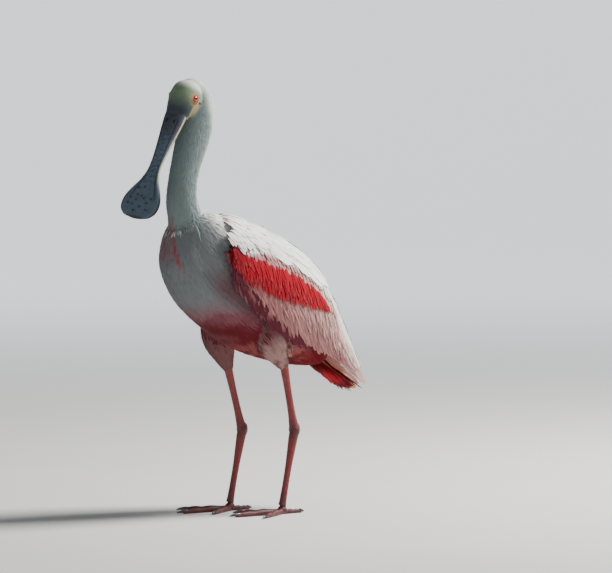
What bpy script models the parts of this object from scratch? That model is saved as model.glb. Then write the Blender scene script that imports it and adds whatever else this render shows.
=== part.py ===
"""Roseate spoonbill, a still life-size model that stands on its own feet.

Metres, +Z up. The bird heads along -Y, its left side is +X, and its soles lie at z = 0.
"""

import math
import random

import bmesh
import bpy
from mathutils import Matrix, Vector

MM = 0.001
GAP = 0.3 * MM
SEED = 7

# Body outline from the neck's seat to the wing tips: each station gives the
# top (y, z) and the bottom (y, z) of the side view and half the width, in mm.
BODY = (
    (-128, 458, -177, 440, 26),
    (-106, 460, -185, 411, 46),
    (-68, 451, -187, 369, 62),
    (-28, 437, -160, 319, 71),
    (24, 413, -108, 276, 76),
    (72, 379, -52, 245, 75),
    (107, 337, 8, 227, 65),
    (130, 294, 60, 215, 50),
    (152, 253, 105, 206, 36),
    (172, 214, 148, 191, 23),
    (190, 186, 183, 179, 9),
)
BODY_END = 7.7
RUMP_START = 5.9
RUMP_PLACE = Vector((0, 97, 229)) * MM
RUMP = (19, 12)
BODY_RINGS = 15
BODY_SIDES = 24
WING_DEPTH = 6.5 * MM
WING_START = 0.6
WING_FULL = 2.0
WING_ANGLE = 118
BELLY_ANGLE = 136

# Neck route from the body to the back of the head, as x, y, z, half width and
# half depth at each station, in mm.
NECK = (
    (0, -152.5, 449, 26, 26.1),
    (0, -158.2, 474, 24.8, 24.9),
    (0, -156.5, 503, 22.8, 23.3),
    (-1, -148.5, 534, 22.8, 24.3),
    (-2, -138.5, 562, 24, 27),
    (-1, -131.2, 588, 23, 27.8),
    (0.5, -130, 611, 22, 27.5),
    (3, -134.5, 632, 20, 24.5),
    (5, -145, 648, 13, 15),
)
NECK_SPLIT = 2.4
NECK_SIDES = 18

# Head: built level, heading along -Y, then turned and set at its place.
HEAD_PLACE = Vector((8.4, -159, 628.5)) * MM
HEAD_YAW = math.radians(25)
HEAD_ROLL = math.radians(9.4)
HEAD_PITCH = math.radians(62.5)
# Along the head: y, middle height, half width, half height, in mm.
SKULL = (
    (28, -2, 3, 3),
    (25, -2, 12, 13.5),
    (16, -1.5, 20.5, 22.5),
    (0, 0, 23, 24),
    (-14, 1, 21, 21.5),
    (-26, 2, 18.5, 16.5),
    (-34, 3, 17, 13),
)
SKULL_SIDES = 20
EYE_RADIUS = 7 * MM
EYE_PLACE = Vector((17.0, -1, 4.5)) * MM
LID_RADIUS = 6.9 * MM
LID_THICKNESS = 1.7 * MM
LID_OUT = 3.4 * MM
LID_TURN = math.radians(8)
LID_TILT = math.radians(20)
EAR_PLACE = Vector((20.5, 9, -9)) * MM
EAR_SIZE = Vector((3.5, 2.2, 3.6)) * MM

# Bill: distance ahead of the eyes, half width, top height, bottom depth, in mm.
BILL = (
    (34.4, 16.8, 11, 12.2),
    (50, 15.6, 9.8, 10),
    (72, 13.2, 7.6, 7.6),
    (94, 11, 5.8, 5.8),
    (110, 9.9, 4.6, 4.6),
    (125, 10.8, 3.9, 4),
    (141, 15.5, 3.5, 3.6),
    (156, 23.5, 3.3, 3.4),
    (169, 29.6, 3.2, 3.3),
    (181, 31.6, 3.1, 3.1),
    (192, 29.2, 2.9, 2.9),
    (200, 21.5, 2.5, 2.4),
    (204, 10, 1.8, 1.7),
)
BILL_LEVEL = 4 * MM
BILL_SIDES = 10
MOUTH_GAP = 0.25 * MM
NOSTRIL_AHEAD = 41 * MM
NOSTRIL_ASIDE = 6.3 * MM
NOSTRIL_LEVEL = 9.6 * MM
NOSTRIL_SIZE = Vector((1.1, 4.2, 2.2)) * MM

# Legs, as x, y, z in mm for the left, then the right.
LEG_SIDE = 45
KNEE = {"left": (40, -42, 292), "right": (-40, -74, 292)}
TIBIA = {"left": (LEG_SIDE, -1, 222), "right": (-LEG_SIDE, -40, 216)}
ANKLE = {"left": (LEG_SIDE, 18, 126), "right": (-LEG_SIDE, -14, 122)}
TOE_ROOT = {"left": (LEG_SIDE, -5, 13), "right": (-LEG_SIDE, -37, 13)}
THIGH_RADII = (20, 25, 24, 17, 9.5)
SHANK_RADII = (6.6, 5.6, 5.3, 5.8, 7.8)
TARSUS_RADII = (8.0, 6.2, 5.0, 4.9, 5.6)
LEG_SIDES = 10
LEG_ROWS = 7
LEG_APART = Vector((0, 0, -0.3))
THIGH_SIDES = 16
HEEL_RADII = (5.6 * MM, 5.9 * MM, 6.0 * MM)

# Toes: turn from straight ahead in degrees, length and root radius in mm.
TOES = ((0, 92, 4.6), (33, 76, 4.3), (-33, 70, 4.3), (180, 38, 3.8))
TOE_SIDES = 8
TOE_PRESS = 0.8
TOE_SHARES = (0.0, 0.2, 0.4, 0.56, 0.7, 0.86, 0.94, 1.06)
TOE_SWELL = (1.1, 0.98, 1.06, 0.86, 0.96, 0.74, 0.6, 0.2)
WEB_REACH = 0.42
WEB_THICKNESS = 1.2 * MM
WEB_HEIGHT = 0.9 * MM
WEB_HOLLOW = 0.34
WEB_ROWS = 3
WEB_COLUMNS = 4

# Wing tiers. First and last root and tip are places on the body, as station
# and degrees round from the back; then the count, the width and the lift over
# the outline just past the root and at the tip, in mm.
TIERS = {
    "primaries": ((6.4, 106), (6.6, 84), (8.9, 99), (9.75, 82), 6, 14, -2.6, -1.8),
    "secondaries": ((2.5, 90), (5.9, 66), (3.4, 115), (7.9, 107), 9, 23, -1.6, 0.4),
    "tertials": ((5.9, 56), (5.6, 15), (8.6, 90), (8.9, 32), 5, 23, -1.2, 1.8),
    "greater_coverts": ((2.35, 74), (6.0, 46), (3.2, 98), (7.2, 84), 8, 25, -1.6, 2.0),
    "median_coverts": ((2.3, 58), (5.7, 34), (3.0, 80), (6.5, 66), 7, 25, -1.6, 2.2),
    "lesser_coverts": ((2.15, 40), (4.9, 24), (2.8, 62), (5.8, 50), 6, 26, -1.6, 2.4),
    "long_scapulars": ((2.8, 27), (3.9, 9), (5.1, 45), (6.6, 14), 4, 26, -0.8, 3.2),
    "scapulars": ((1.75, 37), (1.9, 10), (3.3, 50), (3.9, 13), 4, 27, -0.8, 3.6),
}
VANE_ROWS = ((0.0, 0.5), (0.2, 0.9), (0.52, 1.0), (0.84, 0.9), (1.0, 0.25))
VANE_ROOT = (0.2, -5.2)
VANE_THICKNESS = 0.85 * MM
VANE_TILT = 1.1 * MM
WING_UPPER = (40, 40, 22, 7, 5, 5, 5, 6, 10, 30)
WING_LOWER = (60, 66, 92, 108, 113, 111, 107, 102, 96, 90)
WING_CORE = (2.0, 7.5)
CORE_TOP = -4.4 * MM
CORE_UNDER = -8 * MM
CORE_LENGTHS = 9
CORE_ROUND = 6

# Tail: fan of feathers under the wing tips, and their coverts.
TAIL_ROOT = Vector((0, 84, 239)) * MM
TAIL_SLOPE = math.radians(-36)
TAIL_LENGTH = 98 * MM
TAIL_FEATHERS = 12
TAIL_FAN = math.radians(5)
TAIL_WIDTH = 17 * MM
TAIL_CORE = (40, 34, 19)
TAIL_CORE_AHEAD = 10 * MM
TAIL_ARCH = (1.6, 0.95, 1.2)
# Coverts: count, degrees between them, length, height at the middle, fall of
# the height for each step aside, drop at the tip and width, in mm.
TAIL_COVERTS = {
    "under_covert": (7, 7, 74, -6.5, -0.5, 2, 15),
    "upper_covert": (5, 8, 50, 5.5, 0.6, -1, 15),
}

COLOURS = {
    "head": ((0.33, 0.36, 0.27), 0.6),
    "bill": ((0.30, 0.33, 0.33), 0.5),
    "eye": ((0.45, 0.02, 0.02), 0.1),
    "neck": ((0.78, 0.76, 0.76), 0.9),
    "torso": ((0.76, 0.62, 0.66), 0.9),
    "wing": ((0.77, 0.45, 0.50), 0.9),
    "tail": ((0.66, 0.33, 0.16), 0.9),
    "thigh": ((0.70, 0.40, 0.44), 0.9),
    "leg": ((0.30, 0.05, 0.06), 0.6),
}


def clear_scene():
    for thing in list(bpy.data.objects):
        bpy.data.objects.remove(thing)


def new_collection(name):
    collection = bpy.data.collections.new(name)
    bpy.context.scene.collection.children.link(collection)
    return collection


def material(kind):
    found = bpy.data.materials.get(kind)
    if found:
        return found
    made = bpy.data.materials.new(kind)
    made.use_nodes = True
    colour, roughness = COLOURS[kind]
    shader = made.node_tree.nodes["Principled BSDF"]
    shader.inputs["Base Color"].default_value = (*colour, 1)
    shader.inputs["Roughness"].default_value = roughness
    return made


def spline(stations, place):
    """The station at a fractional place, on a smooth curve through the stations."""
    last = len(stations) - 1
    first = min(max(int(place), 0), last - 1)
    part = place - first
    four = [stations[min(max(first + step, 0), last)] for step in (-1, 0, 1, 2)]
    return [
        0.5 * (2 * b + (c - a) * part + (2 * a - 5 * b + 4 * c - d) * part**2
               + (3 * b - a - 3 * c + d) * part**3)
        for a, b, c, d in zip(*four)
    ]


def straight(values, place):
    """The value at a fractional place, on straight lines through the values."""
    first = min(max(int(place), 0), len(values) - 2)
    return values[first] + (values[first + 1] - values[first]) * (place - first)


def ease(value, low, high):
    """0 below low, 1 above high and smooth between."""
    part = min(max((value - low) / (high - low), 0), 1)
    return part * part * (3 - 2 * part)


def body_raw(place, angle):
    top_y, top_z, low_y, low_z, half = spline(BODY, place)
    middle = Vector((0, top_y + low_y, top_z + low_z)) * (MM / 2)
    rise = Vector((0, top_y - low_y, top_z - low_z)) * (MM / 2)
    aside = Vector((half * MM, 0, 0))
    return middle + rise * math.cos(angle) + aside * math.sin(angle)


def body_normal(place, angle):
    step = 0.02
    along = body_raw(place + step, angle) - body_raw(place - step, angle)
    around = body_raw(place, angle + step) - body_raw(place, angle - step)
    return along.cross(around).normalized() * -1


def body_point(place, degrees, lift):
    """A point of the body's outline, lifted off it along its normal."""
    angle = math.radians(degrees)
    return body_raw(place, angle) + body_normal(place, angle) * lift


def body_axis(place):
    """The direction of the body's length, square to the section at a place."""
    rise = body_raw(place, 0) - body_raw(place, math.pi)
    return Vector((1, 0, 0)).cross(rise).normalized() * -1


def torso_lift(place, degrees):
    """How far the torso lies under the outline, to leave room for the wings."""
    under = ease(place, WING_START, WING_FULL)
    under *= 1 - ease(abs(degrees), WING_ANGLE, BELLY_ANGLE)
    return -WING_DEPTH * under


def mesh_object(name, verts, faces, collection):
    mesh = bpy.data.meshes.new(name)
    mesh.from_pydata([tuple(v) for v in verts], [], faces)
    work = bmesh.new()
    work.from_mesh(mesh)
    bmesh.ops.recalc_face_normals(work, faces=work.faces)
    work.to_mesh(mesh)
    work.free()
    made = bpy.data.objects.new(name, mesh)
    collection.objects.link(made)
    return made


def loft(name, rings, collection):
    """A closed body through rings of the same number of points, with flat ends."""
    count = len(rings[0])
    faces = [list(range(count))]
    for row in range(len(rings) - 1):
        for i in range(count):
            j = (i + 1) % count
            low, high = row * count, (row + 1) * count
            faces.append([low + i, low + j, high + j])
            faces.append([low + i, high + j, high + i])
    faces.append([(len(rings) - 1) * count + i for i in range(count)])
    return mesh_object(name, [p for ring in rings for p in ring], faces, collection)


def slab(name, upper, lower, collection):
    """A closed body between two grids of points, one over the other."""
    rows, columns = len(upper), len(upper[0])
    total = rows * columns
    verts = [p for row in upper for p in row] + [p for row in lower for p in row]
    faces = []
    for r in range(rows - 1):
        for c in range(columns - 1):
            a, b = r * columns + c, r * columns + c + 1
            d, e = a + columns, b + columns
            for start in (0, total):
                faces.append([a + start, b + start, e + start])
                faces.append([a + start, e + start, d + start])
    edge = list(range(columns))
    edge += [r * columns + columns - 1 for r in range(1, rows)]
    edge += [(rows - 1) * columns + c for c in range(columns - 2, -1, -1)]
    edge += [r * columns for r in range(rows - 2, 0, -1)]
    for i, a in enumerate(edge):
        b = edge[(i + 1) % len(edge)]
        faces.append([a, b, b + total, a + total])
    return mesh_object(name, verts, faces, collection)


def tube(name, points, radii, sides, collection, floor=None, level_ends=False):
    """A closed body round a route, with a radius at each of its points."""
    rings = []
    for i, point in enumerate(points):
        ahead = points[min(i + 1, len(points) - 1)] - points[max(i - 1, 0)]
        if level_ends and i in (0, len(points) - 1):
            ahead = Vector((0, 0, -1))
        side = ahead.cross(Vector((0, 1, 0.001)))
        if abs(ahead.normalized().z) < 0.8:
            side = ahead.cross(Vector((0, 0, 1)))
        side.normalize()
        over = side.cross(ahead).normalized()
        ring = []
        for k in range(sides):
            turn = 2 * math.pi * (k + 0.5) / sides
            spot = point + (side * math.cos(turn) + over * math.sin(turn)) * radii[i]
            if floor is not None:
                spot.z = max(spot.z, floor)
            ring.append(spot)
        rings.append(ring)
    return loft(name, rings, collection)


def evaluated_mesh(thing):
    graph = bpy.context.evaluated_depsgraph_get()
    return bpy.data.meshes.new_from_object(thing.evaluated_get(graph))


def boolean(thing, other, operation):
    """Applies one Boolean with an object, or with a collection of closed meshes."""
    modifier = thing.modifiers.new("join", "BOOLEAN")
    modifier.operation = operation
    modifier.solver = "MANIFOLD"
    if isinstance(other, bpy.types.Collection):
        modifier.operand_type = "COLLECTION"
        modifier.collection = other
    else:
        modifier.object = other
    bpy.context.view_layer.update()
    mesh = evaluated_mesh(thing)
    thing.modifiers.clear()
    thing.data = mesh


def keep_largest(thing):
    """Drops every closed surface of the object's mesh but the largest."""
    work = bmesh.new()
    work.from_mesh(thing.data)
    bmesh.ops.triangulate(work, faces=work.faces)
    left = set(work.verts)
    shells = []
    while left:
        front = [left.pop()]
        shell = set(front)
        while front:
            vert = front.pop()
            for edge in vert.link_edges:
                other = edge.other_vert(vert)
                if other in left:
                    left.discard(other)
                    shell.add(other)
                    front.append(other)
        shells.append(shell)
    shells.sort(key=shell_volume)
    loose = [vert for shell in shells[:-1] for vert in shell]
    bmesh.ops.delete(work, geom=loose, context="VERTS")
    work.to_mesh(thing.data)
    work.free()


def shell_volume(shell):
    faces = {face for vert in shell for face in vert.link_faces}
    total = 0
    for face in faces:
        a, b, c = (vert.co for vert in face.verts)
        total += a.dot(b.cross(c))
    return abs(total)


def fuse(thing, pieces):
    """Joins a collection's closed pieces to an object, then removes them."""
    boolean(thing, pieces, "UNION")
    for piece in list(pieces.objects):
        bpy.data.objects.remove(piece)
    bpy.data.collections.remove(pieces)
    keep_largest(thing)


def finish(thing, kind):
    thing.data.materials.clear()
    thing.data.materials.append(material(kind))
    thing.data.shade_smooth()
    thing.data.set_sharp_from_angle(angle=math.radians(40))
    return thing


def rump_point(degrees, grow):
    """A point of the small ring that the torso narrows to at the tail's root."""
    turn = math.radians(degrees)
    wide, deep = (size * MM + grow for size in RUMP)
    rise = (body_raw(BODY_END, 0) - body_raw(BODY_END, math.pi)).normalized()
    across = Vector((wide * math.sin(turn), 0, 0))
    return RUMP_PLACE + rise * deep * math.cos(turn) + across


def torso_rings(grow):
    rings = []
    for row in range(BODY_RINGS + 1):
        place = BODY_END * row / BODY_RINGS
        end = {0: -1, BODY_RINGS: 1}.get(row, 0)
        beyond = body_axis(place) * grow * end * 1.2
        ring = []
        for k in range(BODY_SIDES):
            degrees = 360 * (k + 0.5) / BODY_SIDES
            from_back = min(degrees, 360 - degrees)
            lift = torso_lift(place, from_back) + grow
            full = body_point(place, degrees, lift)
            narrow = ease(place, RUMP_START, BODY_END)
            ring.append(full.lerp(rump_point(degrees, grow), narrow) + beyond)
        rings.append(ring)
    return rings


def make_torso(parts):
    return finish(loft("torso", torso_rings(0), parts), "torso")


def torso_cutter(cutters):
    """The torso grown by the gap that its neighbours keep to it."""
    made = loft("torso_cutter", torso_rings(GAP), cutters)
    made.display_type = "WIRE"
    made.hide_render = True
    return made


def neck_rings(start, end, count, offset_start):
    rings = []
    for row in range(count + 1):
        place = start + (end - start) * row / count
        x, y, z, wide, deep = spline(NECK, place)
        before = Vector(spline(NECK, place - 0.05)[:3])
        after = Vector(spline(NECK, place + 0.05)[:3])
        ahead = (after - before).normalized()
        if place == 0:
            ahead = Vector((0, -18, 49)).normalized()
        aside = Vector((1, 0, 0))
        back = ahead.cross(aside).normalized()
        centre = Vector((x, y, z)) * MM
        if row == 0:
            centre += ahead * offset_start
        ring = []
        for k in range(NECK_SIDES):
            turn = 2 * math.pi * (k + 0.5) / NECK_SIDES
            spot = aside * math.cos(turn) * wide + back * math.sin(turn) * deep
            ring.append(centre + spot * MM)
        rings.append(ring)
    return rings


def make_neck(parts, head_cut):
    lower = loft("neck_lower", neck_rings(0, NECK_SPLIT, 6, GAP), parts)
    finish(lower, "neck")
    upper = loft("neck_upper", neck_rings(NECK_SPLIT, len(NECK) - 1, 9, GAP), parts)
    boolean(upper, head_cut, "DIFFERENCE")
    keep_largest(upper)
    finish(upper, "neck")


def head_matrix():
    turn = Matrix.Rotation(HEAD_YAW, 4, "Z") @ Matrix.Rotation(HEAD_ROLL, 4, "Y")
    return Matrix.Translation(HEAD_PLACE) @ turn @ Matrix.Rotation(HEAD_PITCH, 4, "X")


def ellipsoid(name, centre, size, collection, segments=10, rings=6):
    work = bmesh.new()
    bmesh.ops.create_uvsphere(work, u_segments=segments, v_segments=rings, radius=1)
    mesh = bpy.data.meshes.new(name)
    shape = Matrix.Translation(centre) @ Matrix.Diagonal((*size, 1))
    bmesh.ops.transform(work, matrix=shape, verts=work.verts)
    work.to_mesh(mesh)
    work.free()
    made = bpy.data.objects.new(name, mesh)
    collection.objects.link(made)
    return made


def skull_rings(grow):
    rings = []
    for row in range(2 * (len(SKULL) - 1) + 1):
        y, level, wide, high = spline(SKULL, row / 2)
        ring = []
        for k in range(SKULL_SIDES):
            turn = 2 * math.pi * (k + 0.5) / SKULL_SIDES
            aside = math.cos(turn) * (wide * MM + grow)
            above = level * MM + math.sin(turn) * (high * MM + grow)
            ring.append(Vector((aside, y * MM + (grow if row == 0 else 0), above)))
        rings.append(ring)
    return rings


def lid_ring(side, collection):
    """The raised rim of the lids round one eye, as a torus."""
    bpy.ops.mesh.primitive_torus_add(
        major_radius=LID_RADIUS, minor_radius=LID_THICKNESS,
        major_segments=14, minor_segments=5,
    )
    lids = bpy.context.object
    lids.name = "lids"
    bpy.context.collection.objects.unlink(lids)
    collection.objects.link(lids)
    face_out = Matrix.Rotation(side * (math.pi / 2 - LID_TILT), 4, "Y")
    tip = Matrix.Rotation(side * LID_TURN, 4, "Z")
    seat = EYE_PLACE * Vector((side, 1, 1))
    seat += Vector((side * math.cos(LID_TILT), 0, math.sin(LID_TILT))) * LID_OUT
    lids.data.transform(Matrix.Translation(seat) @ tip @ face_out)
    return lids


def make_head(parts, cutters):
    head = loft("head", skull_rings(0), parts)
    lids = new_collection("lids")
    for side in (1, -1):
        lid_ring(side, lids)
    fuse(head, lids)
    for side in (1, -1):
        mirror = Vector((side, 1, 1))
        socket = ellipsoid("socket", EYE_PLACE * mirror, [EYE_RADIUS + GAP] * 3,
                           cutters, 14, 8)
        ear = ellipsoid("ear_pit", EAR_PLACE * mirror, EAR_SIZE, cutters)
        for pit in (socket, ear):
            boolean(head, pit, "DIFFERENCE")
            bpy.data.objects.remove(pit)
    keep_largest(head)
    head.data.transform(head_matrix())
    return finish(head, "head")


def head_cutter(cutters):
    made = loft("head_cutter", skull_rings(GAP), cutters)
    made.data.transform(head_matrix())
    made.display_type = "WIRE"
    made.hide_render = True
    return made


def make_eyes(parts):
    for side, name in ((1, "eye_left"), (-1, "eye_right")):
        place = EYE_PLACE * Vector((side, 1, 1))
        eye = ellipsoid(name, place, [EYE_RADIUS] * 3, parts, 14, 8)
        eye.data.transform(head_matrix())
        finish(eye, "eye")


def bill_rings(sign):
    """Half-round sections of one mandible; sign is 1 for the upper one."""
    rings = []
    for row, (ahead, wide, top, bottom) in enumerate(BILL):
        high = top if sign > 0 else bottom
        back = GAP if row == 0 else 0
        ring = []
        for k in range(BILL_SIDES + 1):
            turn = math.pi * k / BILL_SIDES
            above = (MOUTH_GAP + math.sin(turn) ** 0.8 * high * MM) * sign
            edge = (MOUTH_GAP + 0.5 * MM) * sign
            above = above if abs(above) > abs(edge) else edge
            spot = Vector((math.cos(turn) * wide * MM, -ahead * MM - back, above))
            ring.append(spot + Vector((0, 0, BILL_LEVEL)))
        for k in range(1, 4):
            aside = (k / 2 - 1) * wide * MM
            spot = Vector((aside, -ahead * MM - back, MOUTH_GAP * sign + BILL_LEVEL))
            ring.append(spot)
        rings.append(ring)
    return rings


def make_bill(parts, cutters):
    upper = loft("bill_upper", bill_rings(1), parts)
    for side in (1, -1):
        place = Vector((side * NOSTRIL_ASIDE, -NOSTRIL_AHEAD, BILL_LEVEL + NOSTRIL_LEVEL))
        pit = ellipsoid("nostril", place, NOSTRIL_SIZE, cutters)
        boolean(upper, pit, "DIFFERENCE")
        bpy.data.objects.remove(pit)
    keep_largest(upper)
    lower = loft("bill_lower", bill_rings(-1), parts)
    for mandible in (upper, lower):
        mandible.data.transform(head_matrix())
        finish(mandible, "bill")


def vane(name, route, facing, width, collection, tilt=0.0):
    """One feather: a tapered blade along a route of points, flat to its facing."""
    upper, lower = [], []
    for share, broad in VANE_ROWS:
        point = route(share)
        ahead = (route(share + 0.02) - route(share - 0.02)).normalized()
        normal = facing(share)
        side = ahead.cross(normal).normalized()
        normal = side.cross(ahead).normalized()
        half = width * broad / 2
        thick = normal * VANE_THICKNESS / 2
        lean = normal * tilt * broad
        left, right = point - side * half - lean, point + side * half + lean
        upper.append([left + thick, right + thick])
        lower.append([left - thick, right - thick])
    return slab(name, upper, lower, collection)


def wing_vane(name, root, tip, width, lifts, side, collection):
    """One wing feather, laid over the body's outline from its root to its tip."""
    mirror = Vector((side, 1, 1))

    def spot(share):
        place = root[0] + (tip[0] - root[0]) * share
        degrees = root[1] + (tip[1] - root[1]) * share
        return place, degrees

    def route(share):
        emerged, depth = VANE_ROOT
        if share < emerged:
            lift = depth + (lifts[0] - depth) * share / emerged
        else:
            lift = lifts[0] + (lifts[1] - lifts[0]) * (share - emerged) / (1 - emerged)
        return body_point(*spot(share), lift * MM) * mirror

    def facing(share):
        place, degrees = spot(share)
        return body_normal(place, math.radians(degrees)) * mirror

    return vane(name, route, facing, width, collection, VANE_TILT * side)


def wing_core(name, side, collection):
    """The wing's own arm and skin, a thin shell that the feathers root in."""
    mirror = Vector((side, 1, 1))
    start, end = WING_CORE
    grids = []
    for lift in (CORE_TOP, CORE_UNDER):
        grid = []
        for row in range(CORE_LENGTHS + 1):
            place = start + (end - start) * row / CORE_LENGTHS
            upper, lower = straight(WING_UPPER, place), straight(WING_LOWER, place)
            line = []
            for k in range(CORE_ROUND + 1):
                degrees = upper + (lower - upper) * k / CORE_ROUND
                line.append(body_point(place, degrees, lift) * mirror)
            grid.append(line)
        grids.append(grid)
    return slab(name, *grids, collection)


def make_wing(name, side, parts, torso_cut, half_cut):
    draw = random.Random(SEED + side)
    core = wing_core(name, side, parts)
    feathers = new_collection("feathers")
    for tier, sizes in TIERS.items():
        root_a, root_b, tip_a, tip_b, count, width, low, high = sizes
        for k in range(count):
            share = k / (count - 1)
            stray = draw.uniform(-1, 1)
            root = [a + (b - a) * share for a, b in zip(root_a, root_b)]
            tip = [a + (b - a) * share for a, b in zip(tip_a, tip_b)]
            tip[0] += 0.08 * stray
            tip[1] += 1.5 * stray
            wing_vane(f"{tier}_{k}", root, tip, width * MM, (low, high), side, feathers)
    fuse(core, feathers)
    boolean(core, torso_cut, "DIFFERENCE")
    boolean(core, half_cut, "DIFFERENCE")
    keep_largest(core)
    return finish(core, "wing")


def half_cutter(side, cutters):
    """A box over the other half of the bird, so that the wings stay clear."""
    size = 0.6
    bpy.ops.mesh.primitive_cube_add(size=size, location=(-side * (size / 2 - GAP), 0, 0.3))
    box = bpy.context.object
    box.name = f"half_cutter_{'left' if side > 0 else 'right'}"
    bpy.context.collection.objects.unlink(box)
    cutters.objects.link(box)
    box.display_type = "WIRE"
    box.hide_render = True
    return box


def tail_frame(turn):
    """Axes of a tail feather: ahead along it, aside across it and its normal."""
    ahead = Vector((math.sin(turn), math.cos(turn), 0))
    slope = Matrix.Rotation(TAIL_SLOPE, 3, "X")
    return slope @ ahead, slope @ Vector((0, 0, 1))


def tail_vane(name, turn, reach, height, drop, width, collection):
    ahead, normal = tail_frame(turn)
    start = TAIL_ROOT + normal * height

    def route(share):
        return start + ahead * reach * share - normal * drop * share

    def facing(share):
        return normal

    return vane(name, route, facing, width, collection)


def make_tail(parts, torso_cut):
    wide, long, deep = (size * MM for size in TAIL_CORE)
    core = ellipsoid("tail", Vector((0, 0, 0)), (wide / 2, long, deep / 2), parts, 16, 10)
    core.data.transform(Matrix.Rotation(TAIL_SLOPE, 4, "X"))
    seat = TAIL_ROOT + tail_frame(0)[0] * TAIL_CORE_AHEAD
    core.data.transform(Matrix.Translation(seat))
    feathers = new_collection("feathers")
    top, fall, shorter = (size * MM for size in TAIL_ARCH)
    for k in range(TAIL_FEATHERS):
        off = k - (TAIL_FEATHERS - 1) / 2
        level = top - abs(off) * fall
        reach = TAIL_LENGTH - abs(off) * shorter
        tail_vane(f"tail_feather_{k}", off * TAIL_FAN / 2, reach, level, 0,
                  TAIL_WIDTH, feathers)
    for name, (count, turn, *sizes) in TAIL_COVERTS.items():
        reach, height, fall, drop, width = (size * MM for size in sizes)
        for k in range(count):
            off = k - (count - 1) / 2
            level = height - abs(off) * fall
            tail_vane(f"{name}_{k}", off * math.radians(turn), reach, level, drop,
                      width, feathers)
    fuse(core, feathers)
    boolean(core, torso_cut, "DIFFERENCE")
    keep_largest(core)
    return finish(core, "tail")


def leg_points(first, last):
    a, b = Vector(first) * MM, Vector(last) * MM
    return [a.lerp(b, k / (LEG_ROWS - 1)) for k in range(LEG_ROWS)]


def fine(radii):
    """The leg's radii in metres, one for each of its rows of points."""
    rows = [(radius,) for radius in radii]
    step = (len(rows) - 1) / (LEG_ROWS - 1)
    return [spline(rows, k * step)[0] * MM for k in range(LEG_ROWS)]


def make_leg(side, parts, torso_cut):
    """Thigh, bare shank and tarsus, end to end with level faces between them."""
    thigh = tube(f"thigh_{side}", leg_points(KNEE[side], TIBIA[side]),
                 fine(THIGH_RADII), THIGH_SIDES, parts, level_ends=True)
    boolean(thigh, torso_cut, "DIFFERENCE")
    keep_largest(thigh)
    finish(thigh, "thigh")
    for name, top, end, radii in (
        ("shank", TIBIA[side], ANKLE[side], SHANK_RADII),
        ("tarsus", ANKLE[side], TOE_ROOT[side], TARSUS_RADII),
    ):
        points = leg_points(Vector(top) + LEG_APART, end)
        bone = tube(f"{name}_{side}", points, fine(radii), LEG_SIDES, parts,
                    level_ends=True)
        finish(bone, "leg")


def toe_points(root, turn, length, radius):
    """A toe's route and radii: down from the root, along the floor, to its claw."""
    ahead = Vector((math.sin(turn), -math.cos(turn), 0))
    base = Vector((root.x, root.y, 0))
    radii = [radius * s * MM for s in TOE_SWELL]
    points = [base + ahead * length * MM * s + Vector((0, 0, r * TOE_PRESS))
              for s, r in zip(TOE_SHARES, radii)]
    return points, radii


def web(name, root, turn_a, turn_b, reach, collection):
    """The small web between two front toes, with a hollowed front edge."""
    base = Vector((root.x, root.y, 0))
    upper, lower = [], []
    for row in range(WEB_ROWS + 1):
        far = row / WEB_ROWS
        line_up, line_low = [], []
        for k in range(WEB_COLUMNS + 1):
            share = k / WEB_COLUMNS
            turn = turn_a + (turn_b - turn_a) * share
            hollow = 1 - WEB_HOLLOW * math.sin(math.pi * share) * far
            ahead = Vector((math.sin(turn), -math.cos(turn), 0))
            spot = base + ahead * reach * (0.05 + far) * hollow
            line_up.append(spot + Vector((0, 0, WEB_HEIGHT + WEB_THICKNESS)))
            line_low.append(spot + Vector((0, 0, WEB_HEIGHT)))
        upper.append(line_up)
        lower.append(line_low)
    return slab(name, upper, lower, collection)


def make_foot(side, parts):
    root = Vector(TOE_ROOT[side]) * MM
    top = root - Vector((0, 0, GAP))
    heel = [Vector((top.x, top.y, top.z * share)) for share in (1, 0.5, 0)]
    foot = tube(f"foot_{side}", heel, HEEL_RADII, LEG_SIDES, parts, level_ends=True)
    toes = new_collection("toes")
    outward = 1 if side == "left" else -1
    turns = []
    for k, (degrees, length, radius) in enumerate(TOES):
        turn = math.radians(degrees) * outward
        turns.append(turn)
        points, radii = toe_points(root, turn, length, radius)
        tube(f"toe_{k}", points, radii, TOE_SIDES, toes, floor=0.0)
    for k, outer in enumerate(turns[1:3]):
        web(f"web_{k}", root, turns[0], outer, TOES[0][1] * WEB_REACH * MM, toes)
    fuse(foot, toes)
    return finish(foot, "leg")


def centre_over_origin(parts):
    """Moves every part so that the middle of the whole box is over the origin."""
    corners = [v.co for part in parts.objects for v in part.data.vertices]
    low = [min(co[axis] for co in corners) for axis in (0, 1)]
    high = [max(co[axis] for co in corners) for axis in (0, 1)]
    move = Vector((-(low[0] + high[0]) / 2, -(low[1] + high[1]) / 2, 0))
    for part in parts.objects:
        part.data.transform(Matrix.Translation(move))


def main():
    clear_scene()
    parts = new_collection("roseate_spoonbill")
    cutters = new_collection("cutters")
    torso_cut = torso_cutter(cutters)
    head_cut = head_cutter(cutters)
    make_torso(parts)
    make_neck(parts, head_cut)
    make_head(parts, cutters)
    make_eyes(parts)
    make_bill(parts, cutters)
    make_wing("wing_left", 1, parts, torso_cut, half_cutter(1, cutters))
    make_wing("wing_right", -1, parts, torso_cut, half_cutter(-1, cutters))
    make_tail(parts, torso_cut)
    for side in ("left", "right"):
        make_leg(side, parts, torso_cut)
        make_foot(side, parts)
    centre_over_origin(parts)


main()
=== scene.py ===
"""Looks of the roseate spoonbill: skin, bill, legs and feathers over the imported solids.

Shapes are worked out in millimetres, with the body heading along -Y and its left side
at +X, and are moved into the frame, in metres, when each mesh is made. A place on the
body or the neck is p, a station along it, and q, degrees round it.
"""

import math

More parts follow.
